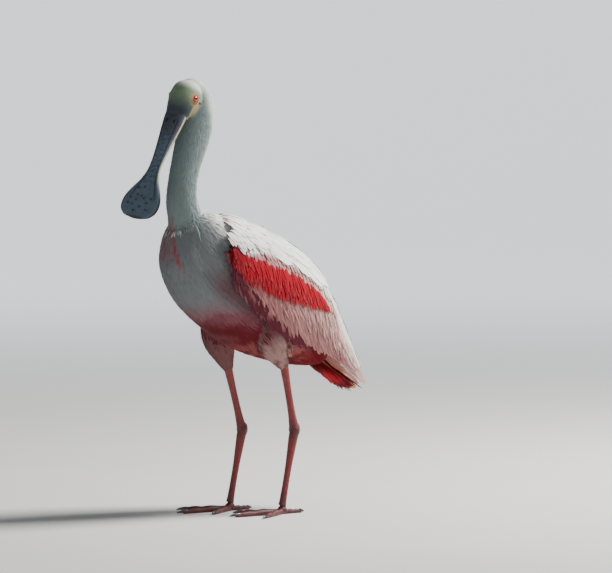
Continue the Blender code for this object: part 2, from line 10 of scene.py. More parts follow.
import bpy
import numpy as np
from mathutils import Matrix, Vector
from mathutils.bvhtree import BVHTree
from mathutils.kdtree import KDTree


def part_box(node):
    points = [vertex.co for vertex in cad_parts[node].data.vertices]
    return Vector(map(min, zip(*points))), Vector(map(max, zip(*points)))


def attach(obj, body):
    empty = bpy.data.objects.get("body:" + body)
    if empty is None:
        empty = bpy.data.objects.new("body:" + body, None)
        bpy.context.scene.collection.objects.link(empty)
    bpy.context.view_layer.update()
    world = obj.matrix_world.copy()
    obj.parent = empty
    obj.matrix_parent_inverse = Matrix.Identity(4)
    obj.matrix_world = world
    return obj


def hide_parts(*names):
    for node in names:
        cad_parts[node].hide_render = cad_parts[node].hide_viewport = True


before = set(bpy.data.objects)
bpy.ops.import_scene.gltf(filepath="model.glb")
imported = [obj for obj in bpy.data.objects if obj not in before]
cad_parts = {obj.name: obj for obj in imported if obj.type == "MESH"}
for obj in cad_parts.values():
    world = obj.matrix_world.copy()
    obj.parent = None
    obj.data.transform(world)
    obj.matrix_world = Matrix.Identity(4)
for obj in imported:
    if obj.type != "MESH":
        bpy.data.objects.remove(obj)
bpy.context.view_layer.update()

MM = 0.001
SIDES = {"left": 1, "right": -1}

# Body outline as in the part: top (y, z), bottom (y, z) and half the width.
BODY = np.array((
    (-128, 458, -177, 440, 26), (-106, 460, -185, 411, 46), (-68, 451, -187, 369, 62),
    (-28, 437, -160, 319, 71), (24, 413, -108, 276, 76), (72, 379, -52, 245, 75),
    (107, 337, 8, 227, 65), (130, 294, 60, 215, 50), (152, 253, 105, 206, 36),
    (172, 214, 148, 191, 23), (190, 186, 183, 179, 9),
), float)
BODY_END = 7.7
RUMP_START = 5.9
RUMP_PLACE = np.array((0.0, 97.0, 229.0))
RUMP = (19, 12)
WING_DEPTH = 6.5
WING_START, WING_FULL = 0.6, 2.0
WING_ANGLE, BELLY_ANGLE = 118, 136

# Neck route: x, y, z, half width and half depth.
NECK = np.array((
    (0, -152.5, 449, 26, 26.1), (0, -158.2, 474, 24.8, 24.9), (0, -156.5, 503, 22.8, 23.3),
    (-1, -148.5, 534, 22.8, 24.3), (-2, -138.5, 562, 24, 27), (-1, -131.2, 588, 23, 27.8),
    (0.5, -130, 611, 22, 27.5), (3, -134.5, 632, 20, 24.5), (5, -145, 648, 13, 15),
), float)

# Head, built level along -Y and then turned: along the head, middle height,
# half width and half height.
HEAD_PLACE = np.array((8.4, -159.0, 628.5))
HEAD_YAW, HEAD_ROLL, HEAD_PITCH = (math.radians(v) for v in (25, 9.4, 62.5))
SKULL = np.array((
    (28, -2, 3, 3), (25, -2, 12, 13.5), (16, -1.5, 20.5, 22.5), (0, 0, 23, 24),
    (-14, 1, 21, 21.5), (-26, 2, 18.5, 16.5), (-34, 3, 17, 13),
), float)
EYE_RADIUS = 7.0
EYE_PLACE = np.array((17.0, -1.0, 4.5))
EAR_PLACE = np.array((20.5, 0.5, -12.0))
EAR_SIZE = (1.9, 3.1)

# Bill: distance ahead of the eyes, half width, top height and bottom depth.
BILL = np.array((
    (34.4, 16.8, 11, 12.2), (50, 15.6, 9.8, 10), (72, 13.2, 7.6, 7.6), (94, 11, 5.8, 5.8),
    (110, 9.9, 4.6, 4.6), (125, 10.8, 3.9, 4), (141, 15.5, 3.5, 3.6), (156, 23.5, 3.3, 3.4),
    (169, 29.6, 3.2, 3.3), (181, 31.6, 3.1, 3.1), (192, 29.2, 2.9, 2.9),
    (200, 21.5, 2.5, 2.4), (204, 10, 1.8, 1.7),
), float)

# Legs: knee, end of the thigh, ankle and toe root; toes: turn, length and radius.
LEGS = {
    "left": np.array(((40, -42, 292), (45, -1, 222), (45, 18, 126), (45, -5, 13)), float),
    "right": np.array(((-40, -74, 292), (-45, -40, 216), (-45, -14, 122), (-45, -37, 13)),
                      float),
}
THIGH_RADII = (20, 25, 24, 17, 9.5)
TOES = ((0, 92, 4.6), (33, 76, 4.3), (-33, 70, 4.3), (180, 38, 3.8))


def spline(stations, place):
    """The stations at fractional places, on a smooth curve through them."""
    place = np.asarray(place, float)
    last = len(stations) - 1
    first = np.clip(place.astype(int), 0, last - 1)
    part = (place - first)[..., None]
    a, b, c, d = (stations[np.clip(first + step, 0, last)] for step in (-1, 0, 1, 2))
    return 0.5 * (2 * b + (c - a) * part + (2 * a - 5 * b + 4 * c - d) * part**2
                  + (3 * b - a - 3 * c + d) * part**3)


def along_route(stations, count):
    """Evenly numbered points, or numbers, on a smooth curve through the stations."""
    rows = np.asarray(stations, float)
    flat = rows.ndim == 1
    made = spline(rows[:, None] if flat else rows, np.linspace(0, len(rows) - 1, count))
    return made[:, 0] if flat else made


def run_along(points):
    """Distance from the start of a route (..., count, 3) to each of its points."""
    steps = np.linalg.norm(np.diff(points, axis=-2), axis=-1)
    return np.concatenate([np.zeros_like(steps[..., :1]), np.cumsum(steps, -1)], -1)


def ease(value, low, high):
    """0 below low, 1 above high and smooth between."""
    part = np.clip((np.asarray(value, float) - low) / (high - low), 0, 1)
    return part * part * (3 - 2 * part)


def bell(value, middle, spread):
    """1 at the middle, falling smoothly to 0 on both sides."""
    return np.exp(-((value - middle) / spread) ** 2)


def ring_turns(count):
    return np.linspace(0, 2 * math.pi, count, endpoint=False)


def unit(vectors):
    length = np.linalg.norm(vectors, axis=-1, keepdims=True)
    return vectors / np.maximum(length, 1e-9)


def body_raw(place, angle):
    top_y, top_z, low_y, low_z, half = np.moveaxis(spline(BODY, place), -1, 0)
    return np.stack([half * np.sin(angle),
                     (top_y + low_y) / 2 + (top_y - low_y) / 2 * np.cos(angle),
                     (top_z + low_z) / 2 + (top_z - low_z) / 2 * np.cos(angle)], -1)


def body_normal(place, angle):
    step = 0.02
    along = body_raw(place + step, angle) - body_raw(place - step, angle)
    around = body_raw(place, angle + step) - body_raw(place, angle - step)
    return -unit(np.cross(along, around))


def body_point(place, degrees, lift):
    """Points of the body's outline, lifted off it along its normal."""
    angle = np.radians(degrees)
    return (body_raw(place, angle)
            + body_normal(place, angle) * np.asarray(lift, float)[..., None])


def rump_point(degrees, grow):
    """The small ring that the torso narrows to at the tail's root."""
    turn = np.radians(degrees)
    rise = unit(body_raw(BODY_END, 0.0) - body_raw(BODY_END, math.pi))
    across = np.stack([(RUMP[0] + grow) * np.sin(turn), turn * 0, turn * 0], -1)
    return RUMP_PLACE + rise * ((RUMP[1] + grow) * np.cos(turn))[..., None] + across


def torso_point(place, degrees, grow):
    """The torso's surface with a lift over it: lower where the wings lie on it."""
    wrapped = (np.asarray(degrees, float) + 180) % 360 - 180
    under = ease(place, WING_START, WING_FULL)
    under = under * (1 - ease(np.abs(wrapped), WING_ANGLE, BELLY_ANGLE))
    full = body_point(place, wrapped, grow - WING_DEPTH * under)
    narrow = ease(place, RUMP_START, BODY_END)[..., None]
    return full * (1 - narrow) + rump_point(wrapped, grow) * narrow


def neck_point(place, degrees, grow):
    """The neck's surface with a lift over it, numbered from the body up."""
    place = np.asarray(place, float)
    row = spline(NECK, place)
    ahead = unit(spline(NECK, place + 0.05)[..., :3] - spline(NECK, place - 0.05)[..., :3])
    aside = np.zeros_like(ahead)
    aside[..., 0] = 1
    back = unit(np.cross(ahead, aside))
    turn = np.radians(np.asarray(degrees, float))[..., None]
    return (row[..., :3] + aside * np.cos(turn) * (row[..., 3:4] + grow)
            + back * np.sin(turn) * (row[..., 4:5] + grow))


def neck_down(p, q, grow):
    """The neck's surface numbered from the head down, so that its lie points down."""
    return neck_point(8.0 - np.asarray(p), q, grow)


HEAD = np.array(Matrix.Translation(Vector(HEAD_PLACE)) @ Matrix.Rotation(HEAD_YAW, 4, "Z")
                @ Matrix.Rotation(HEAD_ROLL, 4, "Y") @ Matrix.Rotation(HEAD_PITCH, 4, "X"))
HEAD_BACK = np.linalg.inv(HEAD)


def from_head(points):
    return points @ HEAD[:3, :3].T + HEAD[:3, 3]


def to_head(points):
    return points @ HEAD_BACK[:3, :3].T + HEAD_BACK[:3, 3]


def frame_shift():
    """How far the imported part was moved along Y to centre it, from its left eye."""
    low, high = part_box("eye_left")
    return np.array((0, (low.y + high.y) / 2 / MM - from_head(EYE_PLACE)[1], 0))


SHIFT = frame_shift()


def link(name, data):
    made = bpy.data.objects.new(name, data)
    bpy.context.scene.collection.objects.link(made)
    return made


def build_mesh(name, verts, faces, tints=None, maps=None, soft=0, shift=SHIFT):
    """A mesh object from points in mm, lists of face arrays, and values per point."""
    verts = np.asarray(verts, float) + shift
    mesh = bpy.data.meshes.new(name)
    mesh.vertices.add(len(verts))
    mesh.vertices.foreach_set("co", (verts * MM).astype(np.float32).ravel())
    faces = [f for f in faces if len(f)]
    loops = np.concatenate([f.ravel() for f in faces])
    totals = np.concatenate([np.full(len(f), f.shape[1]) for f in faces])
    starts = np.concatenate([[0], np.cumsum(totals)[:-1]])
    mesh.loops.add(len(loops))
    mesh.loops.foreach_set("vertex_index", loops.astype(np.int32))
    mesh.polygons.add(len(totals))
    mesh.polygons.foreach_set("loop_start", starts.astype(np.int32))
    mesh.update(calc_edges=True)
    for label, values in (maps or {}).items():
        layer = mesh.uv_layers.new(name=label)
        layer.data.foreach_set("uv", values[loops].astype(np.float32).ravel())
    if tints is not None:
        layer = mesh.color_attributes.new("Tint", "FLOAT_COLOR", "POINT")
        full = np.ones((len(verts), 4), np.float32)
        full[:, :3] = tints
        layer.data.foreach_set("color", full.ravel())
    mesh.validate()
    mesh.shade_smooth()
    if soft:
        mesh.set_sharp_from_angle(angle=math.radians(soft))
    return link(name, mesh)


def settle(piece, look, slot, *replaced):
    """Gives a piece its material, parents it to the root, and hides the parts that it replaces.
    """
    piece.data.materials.clear()
    piece.data.materials.append(look)
    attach(piece, "root")
    if replaced:
        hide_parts(*replaced)


def grid_faces(rows, columns, wrap=False, ring=False):
    """Quads over a grid of points; wrap closes it across its columns, ring its rows."""
    r, c = (v.ravel() for v in np.meshgrid(np.arange(rows if ring else rows - 1),
                                           np.arange(columns if wrap else columns - 1),
                                           indexing="ij"))
    s, d = (r + 1) % rows * columns, (c + 1) % columns
    r = r * columns
    return np.stack([r + c, r + d, s + d, s + c], -1)


def vane_faces(rows, columns):
    """Faces of one closed vane: its upper grid, then the inner points below."""
    total, inner = rows * columns, columns - 2
    quads = grid_faces(rows, columns).tolist()
    if inner == 1:
        quads += [[a, a + 3, a + 5, a + 2] for a in range(0, total - 3, 3)]
        tris = [[0, 2, 1], [total - 3, total - 2, total - 1]]
        return np.array(quads), np.array(tris), total

    def under(r, c):
        edge = c in (0, columns - 1)
        return r * columns + c if edge else total + r * inner + c - 1

    tris = []
    for r in range(rows - 1):
        for c in range(columns - 1):
            quads.append([under(r, c), under(r + 1, c), under(r + 1, c + 1),
                          under(r, c + 1)])
    for r, turn in ((0, 1), (rows - 1, -1)):
        for c in range(columns - 1):
            end = [r * columns + c + 1, r * columns + c, under(r, c), under(r, c + 1)][::turn]
            if c in (0, columns - 2):
                tris.append(list(dict.fromkeys(end)))
            else:
                quads.append(end)
    return np.array(quads), np.array(tris), total + rows * inner


BAKE_PATCH = 0.003


class Coat:
    """Many closed vanes gathered into one piece."""

    def __init__(self):
        self.parts = {key: [] for key in ("verts", "tints", "vane", "bake", "quads", "tris")}
        self.count = 0

    def add(self, top, under, tints, across, along, bake):
        """Vanes given by their upper grids (N, rows, columns, 3) and what lies below.

        across and along are (N, rows, columns) in mm, and bake (N, 2) is each root's
        place on the unwrapped skin.
        """
        number, rows, columns = top.shape[:3]
        quads, tris, size = vane_faces(rows, columns)
        patch = np.zeros((number, rows, columns, 2))
        patch[..., 0] = bake[:, None, None, 0] + np.linspace(-0.5, 0.5, columns) * BAKE_PATCH
        patch[..., 1] = (bake[:, None, None, 1]
                         + np.linspace(-0.5, 0.5, rows)[:, None] * BAKE_PATCH)
        vane = np.stack([across, along], -1)
        for key, upper, lower in (("verts", top, under), ("tints", tints, tints),
                                  ("vane", vane, vane), ("bake", patch, patch)):
            width = upper.shape[-1]
            both = [upper.reshape(number, -1, width)]
            if columns > 3:
                both.append(lower[:, :, 1:-1].reshape(number, -1, width))
            self.parts[key].append(np.concatenate(both, 1).reshape(-1, width))
        offsets = self.count + np.arange(number)[:, None, None] * size
        for key, faces in (("quads", quads), ("tris", tris)):
            self.parts[key].append((faces[None] + offsets).reshape(-1, faces.shape[1]))
        self.count += number * size

    def build(self, name, look, slot, *replaced):
        all_of = {key: np.concatenate(part) for key, part in self.parts.items()}
        made = build_mesh(name, all_of["verts"], [all_of["quads"], all_of["tris"]],
                          np.clip(all_of["tints"], 0, 1),
                          {"OFBake": all_of["bake"], "Vane": all_of["vane"] * MM}, soft=60)
        settle(made, look, slot, *replaced)


# Colours, linear.

WHITE = (0.80, 0.81, 0.77)
NECK_WHITE = (0.62, 0.66, 0.58)
# Painted shade: grey over the white neck on its front and left side.
NECK_SHADE = (0.112, 0.160, 0.168)
# Painted shade: grey over the white breast and the torso's lower sides.
BREAST_SHADE = (0.135, 0.143, 0.152)
BREAST_PINK = (0.23, 0.085, 0.10)
# The belly's pink darkened to deep red as painted shade, more so lower down; also the thighs.
BELLY_SHADED_RED = (0.105, 0.006, 0.011)
BELLY_PINK = (0.40, 0.13, 0.12)
CARMINE = (0.32, 0.0, 0.010)
DEEP_CARMINE = (0.12, 0.0, 0.005)
WING_PINK = (0.37, 0.145, 0.145)
WING_PALE = (0.53, 0.32, 0.29)
# Painted shade: dark mauve on the flank under the wing, the wing's lower front and edge, and
# roots under the carmine plumes.
WING_SHADE = (0.105, 0.018, 0.030)
TAWNY = (0.60, 0.30, 0.12)
STREAK_RED = (0.36, 0.02, 0.045)
CROWN = (0.135, 0.185, 0.115)
# Painted shade: dark blue grey over the forehead and the front of the crown.
FOREHEAD_SHADE = (0.034, 0.040, 0.052)
NAPE_SKIN = (0.42, 0.46, 0.38)
BUFF = (0.27, 0.22, 0.10)
ORBIT = (0.27, 0.10, 0.035)
DARK_SKIN = (0.05, 0.055, 0.05)
PALE_SKIN = (0.60, 0.61, 0.52)
# Painted shade: near black in the ear opening, the gape's crease and the nostril slits.
HOLLOW_SHADE = (0.012, 0.010, 0.010)
CREAM = (0.55, 0.47, 0.29)
IRIS = (0.46, 0.004, 0.004)
IRIS_INNER = (0.52, 0.02, 0.006)
IRIS_EDGE = (0.16, 0.004, 0.004)
PUPIL = (0.002, 0.002, 0.002)
BILL_GREY = (0.075, 0.105, 0.135)
BILL_BASE = (0.034, 0.038, 0.052)
BILL_DARK = (0.012, 0.011, 0.016)
BILL_RIM = (0.018, 0.011, 0.015)
LEG_RED = (0.20, 0.022, 0.024)
LEG_PINK = (0.27, 0.04, 0.038)
LEG_DARK = (0.045, 0.012, 0.014)
PAD = (0.09, 0.05, 0.04)
HORN = (0.020, 0.014, 0.013)


def paint(tint, *layers):
    """Mixes colours into the tints, each by a share for every point, in place."""
    for colour, share in layers:
        share = np.clip(np.asarray(share, float), 0, 1)[..., None]
        tint[:] = tint * (1 - share) + np.array(colour) * share
    return tint


def painted(base, shape, *layers):
    """New tints of one colour with others mixed in over it."""
    return paint(np.tile(np.array(base), (*shape, 1)), *layers)


# Node trees of the materials.

class Look:
    """A short way to write one material's nodes."""

    def __init__(self, name):
        self.material = bpy.data.materials.new(name)
        self.material.use_nodes = True
        self.tree = self.material.node_tree

    def feed(self, socket, value):
        if isinstance(value, bpy.types.NodeSocket):
            self.tree.links.new(value, socket)
        elif value is not None:
            colour = socket.type == "RGBA" and len(value) == 3
            socket.default_value = (*value, 1) if colour else value

    def node(self, kind, settings=None, *ordered, **named):
        """A node of a kind, its settings, and its inputs by order or by name."""
        made = self.tree.nodes.new("ShaderNode" + kind)
        for key, value in (settings or {}).items():
            setattr(made, key, value)
        for index, value in enumerate(ordered):
            self.feed(made.inputs[index], value)
        for key, value in named.items():
            self.feed(made.inputs[key.replace("_", " ")], value)
        return made

    def maths(self, operation, a, b=0.0):
        return self.node("Math", {"operation": operation}, a, b).outputs[0]

    def total(self, base, *terms):
        """The sum of values times their weights, plus a base."""
        made = None
        for value, weight in terms:
            part = value if weight == 1 else self.maths("MULTIPLY", value, weight)
            made = part if made is None else self.maths("ADD", made, part)
        return self.maths("ADD", made, base) if base else made

    def mix(self, factor, a, b, blend="MIX"):
        made = self.node("Mix", {"data_type": "RGBA", "blend_type": blend}, factor)
        self.feed(made.inputs[6], a)
        self.feed(made.inputs[7], b)
        return made.outputs[2]

    def shaded(self, shade):
        """The mesh's own tint, times a shade."""
        return self.mix(1.0, self.tint(), shade, "MULTIPLY")

    def ramp(self, value, low, high, start, end):
        return self.node("MapRange", {"interpolation_type": "SMOOTHSTEP"}, value, low, high,
                         start, end).outputs[0]

    def spots(self, scale, vector, detail=3.0, rough=0.55, warp=0.0):
        return self.node("TexNoise", Vector=vector, Scale=scale, Detail=detail,
                         Roughness=rough, Distortion=warp).outputs["Fac"]

    def cells(self, scale, vector, feature="F1"):
        return self.node("TexVoronoi", {"feature": feature}, Vector=vector,
                         Scale=scale).outputs["Distance"]

    def bump(self, height, strength, distance):
        return self.node("Bump", Strength=strength, Distance=distance,
                         Height=height).outputs["Normal"]

    def place(self):
        return self.node("TexCoord").outputs["Object"]

    def tint(self):
        return self.node("VertexColor", {"layer_name": "Tint"}).outputs["Color"]

    def done(self, **inputs):
        """Sets the shader's inputs and gives the finished material."""
        shader = self.tree.nodes["Principled BSDF"]
        for key, value in inputs.items():
            self.feed(shader.inputs[key.replace("_", " ")], value)
        return self.material


def feather_look(name, barb, rough, streak, shaft=0.0):
    """Feather: its tint, barbs slanting off the shaft, and a soft sheen.

    barb is the spacing of the barbs' streaks and shaft the shaft's width, in metres.
    """
    look = Look(name)
    flat = look.node("UVMap", {"uv_map": "Vane"}).outputs["UV"]
    across, along = look.node("SeparateXYZ", None, flat).outputs[:2]
    aside = look.maths("ABSOLUTE", across)
    slant = look.maths("SUBTRACT", along, look.maths("MULTIPLY", aside, 1.25))
    spread = look.node("CombineXYZ", None, look.maths("MULTIPLY", slant, 1 / barb),
                       look.maths("MULTIPLY", across, 0.12 / barb))
    long_streak = look.node("CombineXYZ", None,
                            look.maths("MULTIPLY", across, 1 / (barb * 1.6)),
                            look.maths("MULTIPLY", along, 40.0))
    clumps, runs = (look.spots(1.0, made.outputs[0], 2.0, 0.6)
                    for made in (spread, long_streak))
    cloud = look.spots(55.0, look.place())
    shade = look.total(1 - streak - 0.09, (clumps, streak), (runs, streak), (cloud, 0.18))
    colour = look.shaded(shade)
    if shaft:
        line = look.ramp(aside, shaft * 0.4, shaft, 1.0, 0.0)
        colour = look.mix(look.maths("MULTIPLY", line, 0.45), colour,
                          look.shaded((0.55, 0.42, 0.42)))
    height = look.total(0, (clumps, 1), (runs, 0.6))
    return look.done(Base_Color=colour, Roughness=rough, Sheen_Weight=0.03,
                     Sheen_Roughness=0.4, Specular_IOR_Level=0.12,
                     Normal=look.bump(height, 0.55, 0.0003))


def skin_look(name, grain, deep, rough):
    """Bare skin: its tint, mottled, with fine grain and creases."""
    look = Look(name)
    place = look.place()
    fine = look.spots(grain * 2.2, place)
    cloud = look.spots(130.0, place, 4.0, 0.6)
    height = look.total(0, (look.cells(grain, place), -0.7), (fine, 0.5))
    return look.done(Base_Color=look.shaded(look.total(0.63, (cloud, 0.5), (fine, 0.25))),
                     Roughness=rough, Specular_IOR_Level=0.16,
                     Normal=look.bump(height, 0.6, deep))


def eye_look():
    """Wet and glossy, with fine streaks in the tint."""
    look = Look("eye_wet")
    shade = look.total(0.55, (look.spots(1500.0, look.place(), 2.0), 0.9))
    return look.done(Base_Color=look.shaded(shade), Roughness=0.12, Coat_Weight=0.6,
                     Coat_Roughness=0.03, Specular_IOR_Level=0.3)


def bill_look():
    """Dull horn: its tint, blotched and lightly pitted, with fine cross grain."""
    look = Look("bill_horn")
    place = look.place()
    cloud = look.spots(210.0, place, 4.0, 0.62, 0.4)
    fine = look.spots(900.0, place)
    height = look.total(0, (fine, 0.5), (look.cells(420.0, place), 0.6))
    return look.done(Base_Color=look.shaded(look.total(0.44, (cloud, 0.9), (fine, 0.22))),
                     Roughness=look.ramp(cloud, 0.3, 0.7, 0.42, 0.62),
                     Specular_IOR_Level=0.4, Normal=look.bump(height, 0.5, 0.0005))


def leg_look():
    """Scaly skin: its tint, with net-like scales and creases darkened as painted shade."""
    look = Look("leg_scales")
    place = look.place()
    line = look.ramp(look.cells(520.0, place, "DISTANCE_TO_EDGE"), 0.0, 0.16, 1.0, 0.0)
    cloud = look.spots(120.0, place, 4.0)
    colour = look.mix(look.maths("MULTIPLY", line, 0.5),
                      look.shaded(look.total(0.6, (cloud, 0.8))), (0.03, 0.008, 0.008))
    height = look.total(0, (cloud, 0.3), (line, -1.0))
    return look.done(Base_Color=colour, Roughness=0.46, Specular_IOR_Level=0.4,
                     Normal=look.bump(height, 0.5, 0.0004))


def claw_look():
    look = Look("claw_horn")
    streak = look.spots(700.0, look.place())
    colour = look.mix(streak, (0.010, 0.007, 0.007), (0.05, 0.034, 0.03))
    return look.done(Base_Color=colour, Roughness=0.28, Coat_Weight=0.3,
                     Coat_Roughness=0.2, Normal=look.bump(streak, 0.3, 0.0002))


def floor_look():
    look = Look("floor_paper")
    colour = look.mix(look.spots(3.0, look.place()), (0.66, 0.66, 0.65), (0.72, 0.72, 0.71))
    grain = look.bump(look.spots(600.0, look.place(), 2.0), 0.1, 0.0003)
    # The floor glows by its tint: a painted glow, not a lamp.
    return look.done(Base_Color=colour, Roughness=0.9, Specular_IOR_Level=0.2,
                     Emission_Color=look.tint(), Emission_Strength=1.15, Normal=grain)


# Skin: lofts joined by a voxel remesh, then smoothed.

COAT_DEPTH, NECK_DEPTH, THIGH_DEPTH = 2.3, 1.5, 2.0
# The skin under the coat is painted darker by this factor, as shade between the feathers.
SKIN_SHADE = 0.85
SKIN_VOXEL, SHAPE_VOXEL, HEAD_VOXEL, LEG_VOXEL = 2.2, 1.1, 0.6, 0.75


def closed_loft(rings):
    """Points and faces of a closed body through rings (rows, sides, 3)."""
    rows, sides = rings.shape[:2]
    verts = np.concatenate([rings.reshape(-1, 3), rings[:1].mean(1), rings[-1:].mean(1)])
    k = np.arange(sides)
    after = (k + 1) % sides
    last = (rows - 1) * sides
    low = np.stack([np.full(sides, rows * sides), after, k], -1)
    high = np.stack([np.full(sides, rows * sides + 1), last + k, last + after], -1)
    return verts, [grid_faces(rows, sides, True), np.concatenate([low, high])]


def surface_loft(surface, start, end, rows, sides, grow):
    """A closed body over a surface; grow is a number or depends on the place."""
    p, q = np.meshgrid(np.linspace(start, end, rows),
                       np.linspace(0, 360, sides, endpoint=False), indexing="ij")
    return closed_loft(surface(p, q, grow(p) if callable(grow) else grow))


def outward(verts, faces):
    """The body with its faces turned outwards."""
    a, b, c = (verts[faces[0][:, i]] for i in range(3))
    inward = np.einsum("ij,ij->i", a, np.cross(b, c)).sum() < 0
    return verts, [f[:, ::-1] for f in faces] if inward else faces


def joined(bodies):
    """Several bodies' points and faces as one."""
    verts, quads, tris, start = [], [], [], 0
    for points, (four, three) in bodies:
        verts.append(points)
        quads.append(four + start)
        tris.append(three + start)
        start += len(points)
    return np.concatenate(verts), [np.concatenate(quads), np.concatenate(tris)]


def ball(centre, size, rows=20, sides=32):
    up, turn = np.linspace(0.02, math.pi - 0.02, rows)[:, None], ring_turns(sides)
    round_one = np.stack([np.sin(up) * np.cos(turn), np.sin(up) * np.sin(turn),
                          np.cos(up) + turn * 0], -1)
    return closed_loft(round_one * np.asarray(size, float) + np.asarray(centre, float))


def torus(centre, spin, major, minor, squash, rows=40, sides=12):
    """A ring of rings round an axis; squash narrows its opening upwards."""
    around, tube = ring_turns(rows)[:, None], ring_turns(sides)
    reach = major + minor * np.cos(tube)
    points = np.stack([reach * np.cos(around), reach * np.sin(around) * squash,
                       minor * np.sin(tube) + around * 0], -1)
    return ((points @ spin.T + centre).reshape(-1, 3),
            [grid_faces(rows, sides, True, True), np.zeros((0, 3), int)])


def tube(points, radii, sides, flat=1.0, up=(0, 0, 1)):
    """A closed tube round a route; flat stretches it along the axis nearest to up."""
    ahead = unit(np.gradient(points, axis=0))
    side = unit(np.cross(ahead, np.asarray(up, float)))
    over = np.cross(side, ahead)
    turn = ring_turns(sides)[None, :, None]
    return closed_loft(points[:, None] + radii[:, None, None] * (
        side[:, None] * np.cos(turn) + over[:, None] * np.sin(turn) * flat))


def evaluated(made):
    graph = bpy.context.evaluated_depsgraph_get()
    return bpy.data.meshes.new_from_object(made.evaluated_get(graph))


def read_all(items, key, width=1, kind=int):
    values = np.zeros(len(items) * width, kind)
    items.foreach_get(key, values)
    return values


def remeshed(bodies, voxel, rounds):
    """One skin over several overlapping closed bodies, as points and faces."""
    made = build_mesh("work", *joined([outward(*body) for body in bodies]), shift=0)
    step = made.modifiers.new("join", "REMESH")
    step.mode = "VOXEL"
    step.voxel_size = voxel * MM
    step = made.modifiers.new("smooth", "SMOOTH")
    step.factor = 0.5
    step.iterations = rounds
    mesh = evaluated(made)
    points = read_all(mesh.vertices, "co", 3, float).reshape(-1, 3) / MM
    loops = read_all(mesh.loops, "vertex_index")
    totals, starts = (read_all(mesh.polygons, key) for key in ("loop_total", "loop_start"))
    faces = [loops[starts[totals == n][:, None] + np.arange(n)] for n in (4, 3)]
    bpy.data.objects.remove(made)
    bpy.data.meshes.remove(mesh)
    return points, faces


def point_normals(verts, faces):
    total = np.zeros_like(verts)
    for group in faces:
        cross = np.cross(verts[group[:, 2]] - verts[group[:, 0]],
                         verts[group[:, -1]] - verts[group[:, 1]])
        for corner in group.T:
            np.add.at(total, corner, cross)
    return unit(total)


def body_skin():
    """Torso, neck and thighs as one skin under the coat."""
    bodies = [surface_loft(torso_point, 0.0, BODY_END, 70, 80, -COAT_DEPTH),
              surface_loft(neck_point, -0.7, 6.0, 60, 48, -NECK_DEPTH)]
    for knee, end, _, _ in LEGS.values():
        radii = along_route(THIGH_RADII, 30) - THIGH_DEPTH
        bodies.append(tube(np.linspace(knee, end, 30), radii, 32, up=(0, 1, 0.001)))
    return remeshed(bodies, SKIN_VOXEL, 10)


# Head: the lids' ring over the eye, the gape as (y, z), and folds round the eye as
# radius and depth. Lengths are in the head's own level place.

LID_TURN, LID_TILT = math.radians(8), math.radians(20)
LID_OUT, LID_RADIUS, LID_THICK = 3.5, 6.6, 1.35
GAPE = ((-39, 4.0), (-34, 2.6), (-30.5, -1.5), (-28.0, -5.6))
GAPE_LIP = 1.9
EYE_FOLDS = ((8.9, 0.42), (10.6, 0.28), (12.2, 0.18))
NECK_TOP = (4.9, 7.7)
# Fillers as middle and size: two behind the skull, and for the left side the cheek and
# the socket's filler, whose middle is measured from the eye.
NAPE_BALLS = (((0, 14, -8), (20.5, 15.5, 21)), ((0, 24, -11), (19, 13, 16)))
CHEEK_BALL = np.array((9.5, -5, -10)), (11, 20, 13)
LID_BALL = np.array((-3.4, 0.5, 0)), (6.5, 9.6, 8.6)
# Where each ring of the eyeball starts and ends, in radians from the pupil's middle.
PUPIL_RING, INNER_RING, OUTER_RING, BACK_RING = (
    (0.29, 0.33), (0.36, 0.50), (0.62, 0.80), (0.82, 0.9))


def lid_spin(side):
    """Turns a ring so that it faces out of the head on that side."""
    return np.array(Matrix.Rotation(side * LID_TURN, 3, "Z")
                    @ Matrix.Rotation(side * (math.pi / 2 - LID_TILT), 3, "Y"))


def groove(points, wide, lift=0.0):
    """How near the points lie to the gape, or to a line lifted off it, from 0 to 1."""
    route = along_route(GAPE, 40)
    apart = np.sqrt(((points[:, None, 1:3] - (0, lift) - route[None]) ** 2).sum(-1))
    fade = 1 - ease(apart.argmin(1) / 39, 0.8, 1.0)
    return bell(apart.min(1), 0, wide) * fade * (np.abs(points[:, 0]) > 3)


def ear_reach(y, z):
    """Distance from the ear's middle, 1 at its rim."""
    return np.sqrt(((y - EAR_PLACE[1]) / EAR_SIZE[0]) ** 2
                   + ((z - EAR_PLACE[2]) / EAR_SIZE[1]) ** 2)


def skull_rings():
    row = along_route(SKULL, 60)
    turn = ring_turns(64)
    return np.stack([np.cos(turn) * row[:, 2:3], row[:, 0:1] + turn * 0,
                     row[:, 1:2] + np.sin(turn) * row[:, 3:4]], -1)


